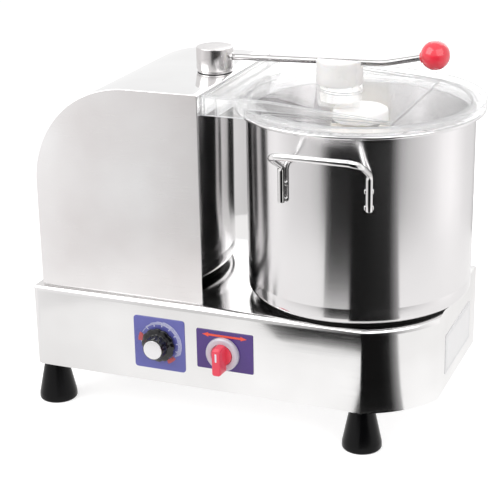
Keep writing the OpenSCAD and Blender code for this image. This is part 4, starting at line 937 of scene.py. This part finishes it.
CURTAIN = [
    (-180, 0.02), (-148, 0.02), (-141, 0.60), (-135, 0.74), (-109, 0.84), (-92, 0.90), (-79, 0.92),
    (-67, 1.0), (-56, 0.88), (-47, 0.78), (-37, 0.72), (-29, 0.68), (-20, 0.55), (-13, 0.14), (-8, 0.012),
    (0, 0.006), (38, 0.006), (45, 0.015), (50, 0.20), (55, 0.42), (62, 0.58), (72, 0.70), (80, 0.80),
    (90, 0.93), (100, 1.08), (112, 1.14), (124, 1.02), (137, 0.88), (158, 0.80), (172, 0.60), (180, 0.05),
]
CURTAIN_R = 620.0
CURTAIN_FADE = (0.44, 0.52)
CURTAIN_TINT = 0.985


def mirror_only(obj):
    """A studio piece that shows in mirrors alone: it lights nothing and hides nothing."""
    obj.visible_camera = False
    obj.visible_diffuse = False
    obj.visible_transmission = False
    obj.visible_shadow = False


def make_curtain():
    """A grey studio curtain round the machine, dark in front of the bowl and on the floor there.

    Between the heights of CURTAIN_FADE, in metres, it turns from solid to open air.
    """
    m = bpy.data.materials.new("studio_curtain")
    n, l, surface = bare(m)
    part = n.new("ShaderNodeSeparateXYZ")
    l.new(n.new("ShaderNodeTexCoord").outputs["Object"], part.inputs[0])
    ahead = maths(n, l, "MULTIPLY", part.outputs["Y"], -1.0)
    bearing = maths(n, l, "ARCTAN2", part.outputs["X"], ahead)
    levels = n.new("ShaderNodeValToRGB")
    l.new(ramp(n, l, bearing, 0.0, 1.0, -math.pi, math.pi), levels.inputs[0])
    stops = levels.color_ramp.elements
    for k, (degrees, level) in enumerate(CURTAIN):
        at = (degrees + 180) / 360
        stop = stops[k] if k < 2 else stops.new(at)
        stop.position = at
        stop.color = (level, level * CURTAIN_TINT, level * CURTAIN_TINT, 1)
    cloth = n.new("ShaderNodeEmission")
    l.new(levels.outputs[0], cloth.inputs["Color"])
    open_air = n.new("ShaderNodeBsdfTransparent")
    height = ramp(n, l, part.outputs["Z"], 0.0, 1.0, *CURTAIN_FADE)
    l.new(mixed(n, l, height, cloth.outputs[0], open_air.outputs[0]), surface)
    # the wall: high in front and lower behind
    front_high, rear_high, hem, steps = 525.0, 270.0, 0.5, 144
    a = np.arange(steps) / steps * TAU
    rim = np.stack([np.cos(a), np.sin(a)], -1)
    rear = np.clip((rim[:, 1] - 0.1) / 0.5, 0, 1)
    high = front_high + (rear_high - front_high) * rear
    wall = np.concatenate([np.column_stack([rim * CURTAIN_R, z]) for z in (np.full(steps, hem), high)])
    add_curtain("studio_curtain_wall", wall, grid_faces(2, steps, False, True), m)
    # the foot: two sectors on the floor, from a bearing on the left to one on the right
    split, right, foot_z, steps = 415.0, 54, 0.6, 34
    faces = grid_faces(2, steps, False, False)
    for name, near, far, left in (("near", 190.0, split, 9), ("far", split, CURTAIN_R, -14)):
        a = np.radians(np.linspace(left, right, steps))
        rows = [np.column_stack([np.sin(a) * r, -np.cos(a) * r, np.full(steps, foot_z)]) for r in (near, far)]
        add_curtain("studio_curtain_foot_" + name, np.concatenate(rows), faces, m)


def add_curtain(name, points, faces, material):
    """Adds a part of the curtain, with its own origin on the bowl axis."""
    mesh = bpy.data.meshes.new(name)
    mesh.from_pydata((np.array(points) * MM).tolist(), [], faces)
    mesh.materials.append(material)
    obj = bpy.data.objects.new(name, mesh)
    obj.location.x = BX * MM
    bpy.context.scene.collection.objects.link(obj)
    mirror_only(obj)


def make_world():
    """A white room: camera, mirror and clear pieces see it white, and it lights matt pieces softly."""
    world = bpy.data.worlds.new("studio")
    bpy.context.scene.world = world
    n, l, surface = bare(world, "ShaderNodeOutputWorld")
    path = n.new("ShaderNodeLightPath").outputs
    seen = maths(n, l, "MAXIMUM", path["Is Camera Ray"], path["Is Transmission Ray"])
    seen = maths(n, l, "MAXIMUM", seen, path["Is Glossy Ray"])
    rooms = []
    for colour, strength in ((WARM_WHITE, 0.55), ((1, 1, 1), 1.0)):
        room = n.new("ShaderNodeBackground")
        room.inputs["Color"].default_value = (*colour, 1)
        room.inputs["Strength"].default_value = strength
        rooms.append(room.outputs[0])
    l.new(mixed(n, l, seen, *rooms), surface)


def lamp(name, at, target, size, watts):
    """A large soft square lamp that looks at a point."""
    data = bpy.data.lights.new(name, "AREA")
    data.shape = "SQUARE"
    data.size = size * MM
    data.energy = watts
    obj = bpy.data.objects.new(name, data)
    bpy.context.scene.collection.objects.link(obj)
    way = Vector([(t - a) * MM for a, t in zip(at, target)])
    obj.matrix_world = Matrix.Translation(Vector(at) * MM) @ way.to_track_quat("-Z", "Y").to_matrix().to_4x4()
    return obj


def make_lights():
    """Three soft lamps: above left, front right and behind."""
    size = 1500
    lamp("lamp_left", (-900, -900, 1400), (0, 0, 200), size, 17)
    lamp("lamp_right", (1200, -700, 1100), (100, 0, 200), size, 9)
    lamp("lamp_back", (100, 1300, 1300), (0, 0, 250), size, 8)


def make_camera():
    """The camera that matches the photograph: bearing 22 degrees to the right, 20 degrees up, a long lens."""
    bearing, height, roll = (math.radians(d) for d in (22.03, 19.82, -1.019))
    distance, focal_pixels, image_pixels, sensor = 1450.2, 1471.8, 500, 36.0
    aim = Vector((BX - 61.3, -162.5, 250.0)) * MM
    level = math.cos(height)
    back = Vector((math.sin(bearing) * level, -math.cos(bearing) * level, math.sin(height)))
    right = (-back).cross(Vector((0, 0, 1))).normalized()
    up = right.cross(-back)
    rolled_right = right * math.cos(roll) + up * math.sin(roll)
    rolled_up = up * math.cos(roll) - right * math.sin(roll)
    data = bpy.data.cameras.new("camera")
    data.sensor_width = sensor
    data.lens = focal_pixels / image_pixels * sensor
    data.clip_start = 0.05
    data.clip_end = 50.0
    cam = bpy.data.objects.new("camera", data)
    bpy.context.scene.collection.objects.link(cam)
    turn = Matrix((rolled_right, rolled_up, back)).transposed().to_4x4()
    cam.matrix_world = Matrix.Translation(aim + back * distance * MM) @ turn
    bpy.context.scene.camera = cam


make_floor()
make_curtain()
make_world()
make_lights()
make_camera()
bpy.context.scene.view_settings.view_transform = "Standard"

bpy.context.view_layer.update()
